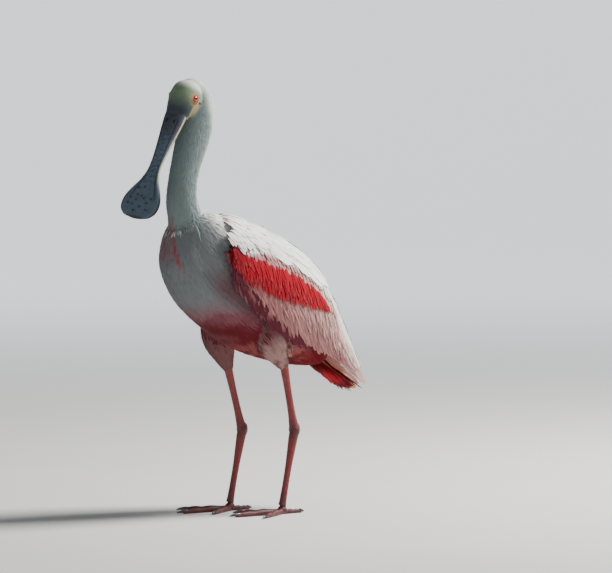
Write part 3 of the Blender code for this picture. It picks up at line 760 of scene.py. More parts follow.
def head_skin():
    """Bare face and crown with lids, gape, ear and folds, running into the nape."""
    shape, lids = [closed_loft(skull_rings()), *(ball(*one) for one in NAPE_BALLS)], []
    seat = EYE_PLACE + LID_OUT * np.array((math.cos(LID_TILT), 0, math.sin(LID_TILT)))
    for side in SIDES.values():
        mirror = (side, 1, 1)
        shape.append(ball(CHEEK_BALL[0] * mirror, CHEEK_BALL[1]))
        lids.append(torus(seat * mirror, lid_spin(side), LID_RADIUS, LID_THICK, 0.94))
        lids.append(ball((EYE_PLACE + LID_BALL[0]) * mirror, LID_BALL[1]))
    shape, lids = ([(from_head(verts), faces) for verts, faces in bodies]
                   for bodies in (shape, lids))
    # The upper neck sinks under the body's skin at its lower end.
    sink = surface_loft(neck_point, *NECK_TOP, 60, 64, lambda p: (
        -NECK_DEPTH - 2.4 + 2.8 * ease(p, NECK_TOP[0], 5.8))[..., None])
    smooth = remeshed([*shape, sink], SHAPE_VOXEL, 34)
    verts, faces = remeshed([*lids, smooth], HEAD_VOXEL, 5)
    x, y, z = to_head(verts).T
    local = np.stack([x, y, z], -1)
    push = 0.45 * (groove(local, 1.1, GAPE_LIP) + groove(local, 1.1, -GAPE_LIP))
    push -= 1.1 * groove(local, 0.8)
    outer = np.abs(x) > 8
    up = z - EYE_PLACE[2]
    reach = np.sqrt((y - EYE_PLACE[1]) ** 2 + up ** 2)
    wobble = 0.5 * np.sin(3 * np.arctan2(up, y))
    for radius, deep in EYE_FOLDS:
        push -= deep * bell(reach - wobble, radius, 0.42) * outer
    ear = ear_reach(y, z)
    push += (0.5 * bell(ear, 1.45, 0.32) - 1.3 * np.exp(-ear ** 4)) * outer
    push += 0.35 * np.sin(x * 2.4) * bell(x, 0, 5) * (z < -8)
    return verts + point_normals(verts, faces) * push[:, None], faces


def head_tints(verts, guide):
    """Face colours: green grey crown, forehead darkened as painted shade, buff below the eye.
    """
    local = to_head(verts)
    x, y, z = np.abs(local[:, 0]), local[:, 1], local[:, 2]
    eye = np.sqrt((y - EYE_PLACE[1]) ** 2 + ((z - EYE_PLACE[2]) * 1.05) ** 2)
    cheek = np.sqrt(((y + 12) / 19) ** 2 + ((z + 7) / 9.5) ** 2)
    jaw = bell(z - 0.42 * np.maximum(y, -8), -15.5, 2.4)
    lips = groove(local, 1.0, 1.8) + groove(local, 1.0, -1.8)
    tint = painted(
        CROWN, x.shape,
        # The forehead and front of the crown, darkened as painted shade.
        (FOREHEAD_SHADE, 1 - ease(y + 0.25 * (z - 15), -26, 3)),
        (NAPE_SKIN, ease(y, 6, 19)),
        (BUFF, (1 - ease(cheek, 0.75, 1.15)) * (x > 7) * 0.9),
        (BUFF, (1 - ease(eye, 8.5, 13.5)) * (x > 8) * 0.7),
        (PALE_SKIN, jaw * ease(y, -24, -12) * (1 - ease(y, 12, 20)) * (x > 6) * 0.85),
        (ORBIT, (1 - ease(eye, 6.6, 8.4)) * (x > 12)),
        (DARK_SKIN, (1 - ease(eye, 5.3, 6.1)) * (x > 12) * 0.7),
        # Painted shade in the ear opening.
        (HOLLOW_SHADE, (1 - ease(ear_reach(y, z), 0.6, 1.2)) * (x > 9)),
        (CREAM, np.clip(lips, 0, 1) * 0.55),
        # Painted shade along the gape's crease.
        (HOLLOW_SHADE, groove(local, 0.7) * 0.85))
    cover = off_face(verts, 6.0)[:, None]
    under = body_colours(verts, guide.nearest(verts), guide) * SKIN_SHADE
    return tint * (1 - cover) + under * cover


def off_face(points, soft=0.01):
    """1 on the nape, throat and neck, 0 on the bare face and crown."""
    local = to_head(points)
    line = -17.5 + 0.5 * np.maximum(local[:, 1], 0) + 1.3 * wave_noise(points, 0.5, 8)
    far = ease(np.linalg.norm(local, axis=1), 48 - soft, 48)
    return np.maximum(ease(line - local[:, 2], -soft, 0), far)


def wave_noise(points, scale, seed):
    """A smooth random field from -1 to 1 made of a few turned waves."""
    draw = np.random.default_rng(seed)
    total = np.zeros(len(points))
    for octave in range(3):
        for _ in range(4):
            axis = unit(draw.normal(size=3))
            phase = draw.uniform(0, 2 * math.pi)
            total += np.sin(points @ axis * scale * 2.1 ** octave * 2.2 + phase) / 2 ** octave
    return np.clip(total / 3.2, -1, 1)


def cut_eyes(head):
    """Opens the lids over the eyeballs."""
    for side in SIDES.values():
        socket = ball(from_head(EYE_PLACE * (side, 1, 1)), [EYE_RADIUS + 0.15] * 3, 40, 60)
        tool = build_mesh("socket_cut", *outward(*socket))
        step = head.modifiers.new("open", "BOOLEAN")
        step.operation = "DIFFERENCE"
        step.solver = "MANIFOLD"
        step.object = tool
        mesh = evaluated(head)
        head.modifiers.clear()
        head.data = mesh
        bpy.data.objects.remove(tool)


def make_eyes():
    """Each eyeball with its domed cornea, red iris and pupil."""
    look = eye_look()
    rows, sides = 48, 64
    up = np.linspace(0.0, math.pi, rows)[:, None] * 0.998 + 0.003
    turn = ring_turns(sides)
    radius = EYE_RADIUS * (1 + 0.07 * (1 - ease(up, 0.25, 0.82)))
    rings = np.stack([np.sin(up) * np.cos(turn) * radius, np.sin(up) * np.sin(turn) * radius,
                      np.cos(up) * radius + turn * 0], -1)
    angle = np.concatenate([np.repeat(up[:, 0], sides), [0, math.pi]])
    tint = painted(IRIS, angle.shape, (IRIS_EDGE, ease(angle, *OUTER_RING)),
                   (IRIS_INNER, 1 - ease(angle, *INNER_RING)),
                   (PUPIL, 1 - ease(angle, *PUPIL_RING)), (PUPIL, ease(angle, *BACK_RING)))
    for name, side in SIDES.items():
        body = closed_loft(from_head(rings @ lid_spin(side).T + EYE_PLACE * (side, 1, 1)))
        made = build_mesh(f"eyeball_{name}", *outward(*body), tint)
        settle(made, look, "eye", f"eye_{name}")


# Bill: two mandibles with a groove, cross ridges, nostrils and a spotted spoon.
# The spots are aside and ahead of the eyes.

BILL_START, BILL_END, BILL_TIP = 29.0, 204, 204.2
BILL_LEVEL = 4.0
MOUTH_GAP = 0.25
GROOVE_AT = 0.66
NOSTRIL = (6.3, 43)
SPOTS = ((-19, 173), (-9, 175), (-13, 183), (-2, 168), (3, 171), (1, 185), (-2, 153),
         (-11, 156), (-20, 182), (-9, 167), (10, 178), (13, 189), (-7, 192), (15, 170))


def bill_sizes(ahead):
    """Half width, top and bottom of the bill at distances ahead of the eyes."""
    ahead = np.minimum(ahead, BILL_END)
    rows = spline(BILL, np.interp(ahead, BILL[:, 0], np.arange(len(BILL))))
    return rows[..., 1], rows[..., 2], rows[..., 3]


def mandible(sign):
    """Rings of one mandible in the head's frame; sign is 1 for the upper one."""
    ahead = np.concatenate([np.linspace(BILL_START, 199, 210),
                            BILL_TIP - 5.2 * (1 - np.linspace(0.05, 1, 26)) ** 1.8])
    wide, top, bottom = bill_sizes(ahead)
    closing = np.sqrt(1 - np.clip((ahead - 201.5) / 2.8, 0, 1) ** 2)
    wide = (wide * closing)[:, None]
    high = ((top if sign > 0 else bottom) * np.clip(closing, 0.25, 1))[:, None]
    turn = np.linspace(0, math.pi, 45)[None]
    across = np.cos(turn)
    middle = np.abs(across)
    a = ahead[:, None]
    flat = ease(a, 112, 150)
    plate = (1 - middle ** 7) * (0.80 + 0.20 * middle ** 2)
    shape = np.sin(turn) ** 0.8 * (1 - flat) + plate * flat
    cut = 0.55 * ease(a, 38, 46) * (1 - ease(a, 168, 184)) * bell(middle, GROOVE_AT, 0.055)
    wave = np.sin(a * 1.55 + 1.2 * np.sin(a * 0.31) + 0.9 * across * sign)
    wave = np.maximum(wave, 0) ** 0.7 * (0.6 + 0.4 * np.sin(a * 0.73 + across * 2.1))
    rough = ease(a, 42, 52) * (1 - ease(a, 116, 134))
    ridges = 0.34 * rough * wave * (middle < 0.58) * np.sin(turn)
    z = shape * high - cut * np.minimum(high / 4, 1) + ridges
    x = across * wide
    if sign > 0:
        slit = ((a - NOSTRIL[1]) / 3.4) ** 4 + ((np.abs(x) - NOSTRIL[0]) / 0.8) ** 4
        z = z - 1.9 * np.exp(-slit) + 0.35 * bell(a, 200.5, 2.2) * bell(across, 0, 0.4)
    level = BILL_LEVEL + sign * MOUTH_GAP / 2
    upper = np.stack([x, -a + x * 0, level + sign * np.maximum(z, 0.45)], -1)
    back = np.linspace(-0.97, 0.97, 15)[None] * wide
    inner = np.stack([back, -a + back * 0, level + back * 0], -1)
    return np.concatenate([upper, inner], 1), ahead


def bill_tints(rings, ahead, sign):
    x, a = rings[..., 0], -rings[..., 1]
    share = np.abs(x) / np.maximum(bill_sizes(ahead)[0][:, None], 1)
    shaft = ease(a, 50, 66) * (1 - ease(a, 138, 154))
    wave = np.sin(a * 1.02 + 1.3 * np.sin(a * 0.29 + x * 0.35) + 0.5 * x)
    blotch = ease(wave, 0.05, 0.75) * (share < 0.62) * shaft
    line = bell(share, GROOVE_AT, 0.07) * ease(a, 38, 46) * (1 - ease(a, 160, 176))
    mouth = np.abs(rings[..., 2] - BILL_LEVEL)
    edge = (1 - ease(mouth, 1.3, 2.3)) * (share > 0.8) * (1 - ease(a, 128, 150))
    tint = painted(BILL_GREY, x.shape, (BILL_BASE, 1 - ease(a, 44, 92)),
                   (BILL_DARK, blotch * (0.34 + 0.3 * np.sin(a * 0.61 + x))),
                   # The groove's dark line is painted shade; the cream edge is the horn's own
                   # colour.
                   (BILL_DARK, line * 0.75), (CREAM, edge * 0.95),
                   # Painted shade on the mouth line between the mandibles.
                   (BILL_DARK, (1 - ease(mouth, 0.3, 0.6)) * (share > 0.8) * 0.8))
    for aside, out in SPOTS:
        near = np.hypot((x - aside) / 2.5, (a - out) / 2.0)
        paint(tint, (BILL_DARK, (1 - ease(near, 0.45, 1.2)) * 0.85))
    rim = ease(share, 0.88, 0.97) * ease(a, 158, 176)
    paint(tint, (BILL_RIM, np.maximum(rim, ease(a, 199, 202.5)) * 0.9))
    if sign > 0:
        near = np.hypot((np.abs(x) - NOSTRIL[0]) / 1.3, (a - NOSTRIL[1]) / 4.6)
        # Painted shade in the nostril slit.
        paint(tint, (HOLLOW_SHADE, 1 - ease(near, 0.6, 1.05)))
    return np.concatenate([tint.reshape(-1, 3), tint[0, :1], tint[-1, :1]])


def make_bill():
    look = bill_look()
    for sign, name in ((1, "upper"), (-1, "lower")):
        rings, ahead = mandible(sign)
        made = build_mesh(f"mandible_{name}", *outward(*closed_loft(from_head(rings))),
                          bill_tints(rings, ahead, sign), soft=50)
        settle(made, look, "bill", f"bill_{name}")


# Legs and feet: bare scaly skin from under the thigh feathers to the claws. Shares of
# the way from thigh to ankle and from ankle to toe root, and the radii there.

SHANK_SHARES = (-0.12, 0, 0.25, 0.5, 0.75, 0.93)
TARSUS_SHARES = (0.07, 0.25, 0.5, 0.75, 0.92, 1.0)
LEG_RADII = (7.2, 6.6, 5.6, 5.3, 5.8, 7.3, 7.9, 7.3, 6.2, 5.0, 4.9, 5.3, 6.0)
SCUTE, TOE_SCUTE = 3.4, 2.6
TOE_SHARES = (0.0, 0.2, 0.4, 0.56, 0.7, 0.86, 0.94)
TOE_SWELL = (1.1, 0.98, 1.06, 0.86, 0.96, 0.74, 0.6)
TOE_POINTS = 70
CLAW_ROOT = 57
WEB_REACH = 0.42


def leg_skin(name):
    """Points, faces, tints of one leg with its toes and webs as one skin."""
    _, tibia, ankle, root = LEGS[name]
    stations = [*(tibia + (ankle - tibia) * s for s in SHANK_SHARES), ankle + (0, 0.9, 0),
                *(ankle + (root - ankle) * s for s in TARSUS_SHARES)]
    line = along_route(stations, 160)
    bodies = [tube(line, along_route(LEG_RADII, 160), 24, up=(0, 1, 0.001))]
    bodies += [ball(ankle + (out * 4.2, -0.4, 1.2), (4.4, 6.6, 8.2)) for out in (1, -1)]
    bodies.append(ball(ankle + (0, 5.0, 2.0), (4.8, 4.4, 9.0)))
    bodies.append(ball((root[0], root[1], 6.4), (6.9, 7.6, 6.9)))
    toes = []
    for turn, length, radius in TOES:
        angle = math.radians(turn) * SIDES[name]
        ahead = np.array((math.sin(angle), -math.cos(angle), 0))
        points = root * (1, 1, 0) + ahead * length * np.array(TOE_SHARES)[:, None]
        sizes = radius * np.array(TOE_SWELL)
        points[:, 2] = sizes * 0.8
        toe_line, thick = along_route(points, TOE_POINTS), along_route(sizes, TOE_POINTS)
        bodies.append(tube(toe_line, thick, 20))
        toes.append((toe_line, thick, ahead, length))
    bodies += [web(root, turn * SIDES[name]) for turn in (33, -33)]
    verts, faces = remeshed(bodies, LEG_VOXEL, 3)
    normals = point_normals(verts, faces)
    push, tint = leg_detail(verts, normals, line, toes)
    verts = verts + normals * push[:, None]
    floor = verts[:, 2] < 0.25
    verts[floor, 2] = np.maximum(verts[floor, 2] * 0.2, 0.0)
    return verts, faces, tint, toes


def web(root, turn):
    """A thin web between the root of the middle toe and that of the one at a turn."""
    share = np.linspace(0, 1, 16)
    angle = math.radians(turn) * share
    far = np.linspace(0.04, 1, 12)[:, None]
    reach = TOES[0][1] * WEB_REACH * far * (1 - 0.36 * np.sin(math.pi * share) * far)
    x, y = root[0] + np.sin(angle) * reach, root[1] - np.cos(angle) * reach
    low, high = (np.stack([x, y, x * 0 + z], -1) for z in (0.8, 2.4 - 0.5 * far))
    return closed_loft(np.concatenate([high, low[:, ::-1]], 1))


def nearest_along(verts, line):
    """Index of the nearest point of a line for each vertex, and how far it is."""
    best = np.full(len(verts), 1e9)
    index = np.zeros(len(verts), int)
    for k, point in enumerate(line):
        apart = ((verts - point) ** 2).sum(1)
        closer = apart < best
        best[closer] = apart[closer]
        index[closer] = k
    return index, np.sqrt(best)


def scute_height(distance, size):
    """Overlapping plates along a distance: a rounded rise and a sharp step."""
    part = (distance / size) % 1.0
    return np.minimum(part * 1.25, 1) - ease(part, 0.86, 1.0)


def leg_detail(verts, normals, line, toes):
    """Scutes down the front of the leg and over the toes, and the leg's colours."""
    down = run_along(line)[nearest_along(verts, line)[0]]
    z = verts[:, 2]
    front = ease(-normals[:, 1], 0.15, 0.65) * (z > 13)
    plate = scute_height(down, SCUTE) * front
    push = 0.34 * plate * (z < 116)
    push += 0.22 * scute_height(down, SCUTE * 0.8) * front * (z > 134)
    tint = painted(LEG_RED, z.shape, (LEG_PINK, ease(z, 150, 215) * 0.65),
                   (LEG_DARK, bell(z, 124, 13) * 0.75),
                   (LEG_DARK, (1 - ease(z, 8, 60)) * 0.7), (LEG_PINK, plate * 0.22))
    for toe_line, thick, _, _ in toes:
        near, apart = nearest_along(verts, toe_line)
        over = ease(normals[:, 2], 0.3, 0.8) * (apart < thick[near] * 1.25)
        over = over * (near > 3) * (z < 12) * scute_height(run_along(toe_line)[near], TOE_SCUTE)
        push += 0.26 * over
        paint(tint, (LEG_RED, over * 0.35))
    paint(tint, (PAD, ease(-normals[:, 2], 0.2, 0.7) * (z < 6) * 0.6))
    return push, tint


def claws(name, toes):
    """A curved horn claw on each toe, as one piece."""
    bodies = []
    out = np.linspace(0, 1, 24)
    size = 2.9 * (1 - out) ** 0.62 + 0.18
    for toe_line, _, ahead, length in toes:
        start = toe_line[CLAW_ROOT]
        points = start + ahead * (out * length * 0.225)[:, None]
        points[:, 2] = start[2] + 1.3 * np.sin(out * 2.0) - 2.3 * out ** 2 + 0.5
        points[:, 2] = np.maximum(points[:, 2], size * 1.12 + 0.05)
        bodies.append(outward(*tube(points, size, 14, 1.12)))
    verts, faces = joined(bodies)
    return build_mesh(f"claws_{name}", verts, faces, np.tile(HORN, (len(verts), 1)), soft=60)


def make_legs():
    look, horn = leg_look(), claw_look()
    for name in SIDES:
        verts, faces, tint, toes = leg_skin(name)
        settle(build_mesh(f"leg_{name}", verts, faces, tint), look, "leg_skin",
               f"shank_{name}", f"tarsus_{name}", f"foot_{name}")
        settle(claws(name, toes), horn, "leg_skin")


# Coats: feathers rooted on the skin, lying along the body.

def thigh_point(name):
    knee, end = LEGS[name][:2]

    def surface(p, q, grow):
        radii = np.array(THIGH_RADII, float)[:, None]
        radius = spline(radii, np.clip(p, 0, 1) * 4)[..., 0] + grow
        turn = np.radians(q)
        return knee + (end - knee) * np.asarray(p)[..., None] + np.stack(
            [np.cos(turn) * radius, np.sin(turn) * radius, turn * 0], -1)

    return surface


# Region, surface, its places and degrees, and its window of the unwrapped skin.
GUIDES = (
    ("torso", torso_point, np.linspace(0.02, BODY_END, 70), np.linspace(-180, 175, 72),
     (0.02, 0.98, 0.02, 0.60)),
    ("neck", neck_down, np.linspace(0.15, 8.4, 80), np.linspace(0, 352, 45),
     (0.02, 0.70, 0.64, 0.98)),
    ("thigh_left", thigh_point("left"), np.linspace(0, 1, 24), np.linspace(0, 345, 24),
     (0.74, 0.85, 0.64, 0.98)),
    ("thigh_right", thigh_point("right"), np.linspace(0, 1, 24), np.linspace(0, 345, 24),
     (0.87, 0.98, 0.64, 0.98)),
)
GUIDE_STEP = 0.03


class Guide:
    """Where a point of the skin lies on the body: lie of the coat, region, unwrap."""

    def __init__(self):
        rows = []
        for region, surface, p, q, (low_u, high_u, low_v, high_v) in GUIDES:
            p, q = (v.ravel() for v in np.meshgrid(p, q, indexing="ij"))
            here = surface(p, q, 0.0)
            lie = surface(p + GUIDE_STEP, q, 0.0) - surface(p - GUIDE_STEP, q, 0.0)
            baked = [low + (high - low) * (v - v.min()) / (v.max() - v.min())
                     for v, low, high in ((q, low_u, high_u), (p, low_v, high_v))]
            rows.append((here, (here + surface(p, q + 180, 0.0)) / 2, unit(lie),
                         np.stack([p, q], -1), np.stack(baked, -1), np.full(len(p), region)))
        (self.points, self.middles, self.lies, self.places, self.baked,
         self.regions) = (np.concatenate(part) for part in zip(*rows))
        self.tree = KDTree(len(self.points))
        for row, point in enumerate(self.points.tolist()):
            self.tree.insert(point, row)
        self.tree.balance()

    def nearest(self, points):
        return np.array([self.tree.find(point)[1] for point in points.tolist()], int)

    def at(self, points):
        """Nearest guide sample's index, and the lie smoothed over the nearest few."""
        index = np.zeros(len(points), int)
        lie = np.zeros((len(points), 3))
        for row, point in enumerate(points.tolist()):
            _, few, far = zip(*self.tree.find_n(point, 6))
            index[row] = few[0]
            lie[row] = 1 / (np.array(far) ** 2 + 25.0) @ self.lies[list(few)]
        return index, unit(lie)

    def depth(self, points):
        """Height over the outline, by the nearest guide sample's own middle line."""
        index = self.nearest(points)
        inner = self.middles[index]
        return (np.linalg.norm(points - inner, axis=1)
                - np.linalg.norm(self.points[index] - inner, axis=1))


class Skin:
    """A skin mesh to root feathers on: even scattering and projection onto it."""

    def __init__(self, verts, faces, guide):
        tris = np.concatenate([faces[0][:, :3], faces[0][:, [0, 2, 3]], faces[1]])
        self.corners = verts[tris]
        cross = np.cross(self.corners[:, 1] - self.corners[:, 0],
                         self.corners[:, 2] - self.corners[:, 0])
        self.area = np.linalg.norm(cross, axis=1) / 2
        self.tree = BVHTree.FromPolygons([tuple(v) for v in verts], tris.tolist())
        self.centres = self.corners.mean(1)
        near = guide.nearest(self.centres)
        self.region, (self.p, self.q) = guide.regions[near], guide.places[near].T

    def scatter(self, spacing, test, draw):
        """Points about spacing mm apart on the triangles that the test chooses."""
        some = np.flatnonzero(test(self.region, self.p, np.abs(self.q), self.centres))
        area = self.area[some]
        count = int(area.sum() / spacing ** 2 * 4.5)
        pick = some[np.searchsorted(np.cumsum(area) / area.sum(), draw.random(count))
                    .clip(0, len(some) - 1)]
        a, b = draw.random(count), draw.random(count)
        flip = a + b > 1
        a, b = (np.where(flip, 1 - v, v)[:, None] for v in (a, b))
        three = self.corners[pick]
        points = (three[:, 0] + (three[:, 1] - three[:, 0]) * a
                  + (three[:, 2] - three[:, 0]) * b)
        return points[thin_out(points, float(spacing))]

    def project(self, points):
        """Nearest points of the skin and its normals there."""
        found = np.array([self.tree.find_nearest(point)[:2]
                          for point in points.reshape(-1, 3).tolist()])
        return (found[:, side].reshape(points.shape) for side in (0, 1))


def thin_out(points, apart):
    """Keeps points that lie no closer than apart to a kept one."""
    cells, kept = {}, []
    near = [(i, j, k) for i in (-1, 0, 1) for j in (-1, 0, 1) for k in (-1, 0, 1)]
    keys = np.floor(points / apart).astype(int).tolist()
    limit = apart ** 2
    for n, ((x, y, z), (a, b, c)) in enumerate(zip(points.tolist(), keys)):
        if not any((px - x) ** 2 + (py - y) ** 2 + (pz - z) ** 2 < limit
                   for i, j, k in near
                   for px, py, pz in cells.get((a + i, b + j, c + k), ())):
            cells.setdefault((a, b, c), []).append((x, y, z))
            kept.append(n)
    return np.array(kept, int)


# Shares of the length and of the width there.
ROWS = {
    "tuft": (np.array((0, 0.35, 0.7, 1.0)), np.array((0.45, 1.0, 0.72, 0.06))),
    "plume": (np.array((0, 0.18, 0.38, 0.58, 0.76, 0.9, 1.0)),
              np.array((0.35, 0.85, 1.0, 0.95, 0.78, 0.5, 0.08))),
}
SINK = 0.6


def grow(coat, skin, guide, roots, draw, kind, sizes, tint_at, swirl, ridge, curl,
         droop=0.0, tilt=8.0):
    """Adds a feather at each root, laid along the skin and raised towards its tip.

    sizes are length, width and rise per root, in mm. swirl is the random turn in degrees.
    """
    length, width, rise = (size[:, None] for size in sizes)
    index, lie = guide.at(roots)
    _, normal = skin.project(roots)
    lie = unit(lie - normal * (lie * normal).sum(1, keepdims=True))
    turn = np.radians(draw.normal(0, swirl, len(roots)))[:, None]
    lie = unit(lie * np.cos(turn) + np.cross(normal, lie) * np.sin(turn))
    share, broad = ROWS[kind]
    base, up = skin.project(roots[:, None] + lie[:, None] * (share * length)[..., None])
    lift = -SINK + (rise + SINK) * share ** 0.8
    lift = lift + curl * share ** 3 * draw.uniform(0.2, 1.0, (len(roots), 1))
    middle = base + up * lift[..., None]
    middle[..., 2] -= droop * share ** 2
    ahead = unit(np.gradient(middle, axis=1))
    aside = unit(np.cross(ahead, up))
    over = unit(np.cross(aside, ahead))
    lean = np.radians(draw.normal(0, tilt, len(roots)))[:, None, None]
    aside = aside * np.cos(lean) + over * np.sin(lean)
    half = (width / 2 * broad)[..., None]
    top = np.stack([middle - aside * half, middle + over * ridge * broad[:, None],
                    middle + aside * half], 2)
    across = half * (-1, 0, 1)
    along = np.broadcast_to((share * length)[..., None], across.shape)
    coat.add(top, top, tint_at(top, roots, index, share, draw), across, along,
             guide.baked[index])


def body_colours(points, index, guide):
    """Colour of the small feathers at points of the torso, neck and thighs."""
    region = guide.regions[index]
    p, q = guide.places[index].T
    z, around, turn = points[:, 2], np.abs(q), np.radians(q)
    torso, neck = region == "torso", region == "neck"
    thigh = (region == "thigh_left") | (region == "thigh_right")
    noise, fine = wave_noise(points, 0.045, 3), wave_noise(points, 0.12, 5)
    low = ease(around, 60, 90) * torso
    flank = ease(around, 84, 100) * (1 - ease(around, 118, 136)) * ease(p, 2.0, 3.0)
    under = ease(p, 5.6, 6.6) * ease(around, 80, 105) * torso
    line = bell(around + 12.0 * (p - 0.85), 162, 3.0) * torso
    spot = bell(around, 180, 13) * bell(p, 1.05, 0.35) * torso
    # Where the neck is painted grey as shade: its front and left side, less near the head.
    front = ease(-np.sin(turn) + 0.3 * np.cos(turn) - 0.45 * ease(z, 580, 622), -0.8, 0.0)
    throat = bell(p, 7.8, 0.5) * bell(q, 268, 16) * neck
    pale = thigh * ease(noise + 0.5 * fine, -0.6, 0.2) * ease(p, 0.1, 0.5)
    return painted(
        WHITE, z.shape,
        # The breast and lower sides, grey as painted shade on white feathers.
        (BREAST_SHADE, ease(around, 42, 88) * torso * 0.95),
        (BREAST_PINK, low * (1 - ease(z + 10 * noise, 304, 346)) * 0.9),
        # Deep red as painted shade over the pink belly, darker towards the bottom.
        (BELLY_SHADED_RED, low * (1 - ease(z + 14 * noise + 5 * fine, 272, 326)) * 0.95),
        # The flank under the wing's front edge, darkened as painted shade.
        (WING_SHADE, flank * torso * 0.7),
        (BELLY_PINK, low * ease(p, 4.0, 5.2) * ease(noise + 0.6 * fine, -0.1, 0.5) * 0.6),
        (DEEP_CARMINE, under * 0.75),
        (DEEP_CARMINE, under * ease(around, 100, 125) * 0.8),
        (STREAK_RED, line * (1 - ease(p, 1.4, 2.0)) * 0.8),
        (STREAK_RED, spot * 0.35),
        (NECK_WHITE, neck),
        # Painted shade on the neck's front and left side.
        (NECK_SHADE, neck * front * 0.84),
        (STREAK_RED, throat * 0.4),
        # The thighs deep red as painted shade; only the near one gets pale pink tufts.
        (BELLY_SHADED_RED, thigh * 0.92),
        (WING_PALE, pale * (points[:, 0] > 0) * 0.55))


def small_tints(guide, root, tip):
    """Tints of small feathers, from a root darkened as painted shade where they overlap to a
    lighter tip.
    """
    def tint_at(top, roots, index, share, draw):
        base = body_colours(roots, index, guide)
        light = 1 + draw.normal(0, 0.03, (len(base), 1))
        warm = draw.normal(0, 0.01, (len(base), 1)) * np.array((1, -0.4, -0.6))
        base = np.clip(base * light + warm * base, 0, 1)
        shade = root + (tip - root) * share ** 0.7
        full = base[:, None, None] * shade[None, :, None, None]
        full = np.broadcast_to(full, top.shape).copy()
        full[:, :, 1] *= 0.97
        return full
    return tint_at


def bare_torso(region, p, q):
    """The torso where the folded wing doesn't hide it."""
    lower = np.interp(p, (2.2, 3, 4, 5, 6, 7.7), (70, 84, 96, 100, 98, 92))
    return (region == "torso") & ~((p > 2.35) & (q < lower))


# Name, slot, where it grows, spacing, (length, width, rise) and swirl in degrees.
SMALL_COATS = (
    ("coat_neck", "neck_feathers", lambda r, p, q, x: (r == "neck") & (off_face(x) > 0.5),
     1.62, (8.5, 1.6, 0.9), 4),
    ("coat_breast", "body_feathers", lambda r, p, q, x: bare_torso(r, p, q) & (p <= 2.6),
     1.75, (15, 2.3, 1.3), 5),
    ("coat_belly", "body_feathers", lambda r, p, q, x: bare_torso(r, p, q) & (p > 2.5),
     1.95, (18, 2.7, 1.5), 6),
    ("coat_thighs", "body_feathers", lambda r, p, q, x: np.char.startswith(r, "thigh"),
     1.8, (14, 2.2, 1.3), 7),
)
DEEPEST_ROOT = -3.4
SMALL_SEED, PLUME_SEED, WING_SEED, OVAL_SEED, TAIL_SEED = 40, 61, 90, 200, 15


def make_small_coats(skin, guide):
    """Neck, breast, belly and thigh feathers, each region one piece, and the plumes."""
    look = feather_look("soft_feather", 0.0016, 0.9, 0.12)
    for seed, (name, slot, test, apart, sizes, swirl) in enumerate(SMALL_COATS):
        draw = np.random.default_rng(SMALL_SEED + seed)
        coat = Coat()
        roots = skin.scatter(apart, test, draw)
        roots = roots[guide.depth(roots) > DEEPEST_ROOT]
        length, width, rise = (size * draw.uniform(0.78, 1.2, len(roots)) for size in sizes)
        if name == "coat_neck":
            fine = 1 - 0.3 * ease(roots[:, 2], 575, 625)
            longer = 1 + 0.7 * (1 - ease(roots[:, 2], 455, 500))
            length, width, rise = length * fine * longer, width * fine, rise * fine
        grow(coat, skin, guide, roots, draw, "tuft", (length, width, rise),
             small_tints(guide, 0.84, 1.04), swirl, 0.10, 0.15, tilt=3.0)
        coat.build(name, look, slot)
    draw = np.random.default_rng(PLUME_SEED)
    coat = Coat()
    roots = skin.scatter(3.6, plume_ring, draw)
    sizes = [draw.uniform(*span, len(roots)) for span in ((20, 36), (1.6, 2.8), (1.4, 2.3))]
    grow(coat, skin, guide, roots, draw, "plume", sizes, small_tints(guide, 0.92, 1.02),
         9, 0.15, 0.4, droop=0.4)
    coat.build("neck_plumes", look, "neck_feathers")


def plume_ring(region, p, q, points):
    """Where the long loose plumes grow, round the back and sides of the neck's base."""
    ring = (region == "torso") & (p < 1.35) & (q < 92)
    ring |= (region == "torso") & (p < 2.35) & (q > 12) & (q < 70)
    ring |= (region == "neck") & (p > 6.8) & (q < 190)
    return ring & (points[:, 1] > -158)


# Wings: tiers of vanes over the body's outline. First and last root, first and last
# tip, each (place, degrees); then the count, the width, the lift past the root and at
# the tip in mm, and how far the tips sag between the first and the last, in degrees.
WING_TIERS = (
    ("primaries", (6.4, 106), (6.6, 84), (8.85, 104), (9.75, 86), 9, 13, -2.6, -1.9, 0),
    ("secondaries", (2.5, 92), (5.9, 68), (3.4, 114), (7.9, 109), 26, 11, -1.8, 0.0, 11),
    ("tertials", (5.9, 58), (5.6, 14), (8.5, 96), (8.95, 30), 12, 17, -1.2, 1.4, 0),
    ("greater_coverts", (2.4, 76), (6.0, 48), (3.15, 103), (7.2, 90), 27, 9.5, -1.4, 1.2, 7),
    ("median_coverts_low", (2.35, 66), (5.9, 42), (3.05, 92), (6.8, 79), 27, 9, -1.2, 1.4, 4),
    ("median_coverts", (2.3, 56), (5.6, 34), (2.95, 80), (6.4, 67), 26, 8.5, -1.2, 1.6, 0),
    ("lesser_coverts_low", (2.2, 48), (5.2, 30), (2.8, 69), (6.0, 58), 24, 8, -1.0, 1.8, 0),
    ("lesser_coverts", (2.1, 40), (4.8, 24), (2.65, 58), (5.6, 48), 22, 8, -1.0, 2.0, 0),
)
FLIGHT = ("primaries", "secondaries", "tertials")
# Place, first and last degrees, reach, spread, width and count of each row.
SCAPULARS = (
    (3.4, 9, 38, 2.1, 15, 24, 8), (2.9, 6, 40, 1.9, 16, 22, 9), (2.4, 4, 42, 1.6, 15, 21, 10),
    (1.9, 3, 42, 1.3, 14, 19, 11), (1.45, 3, 44, 1.0, 14, 17, 12),
)
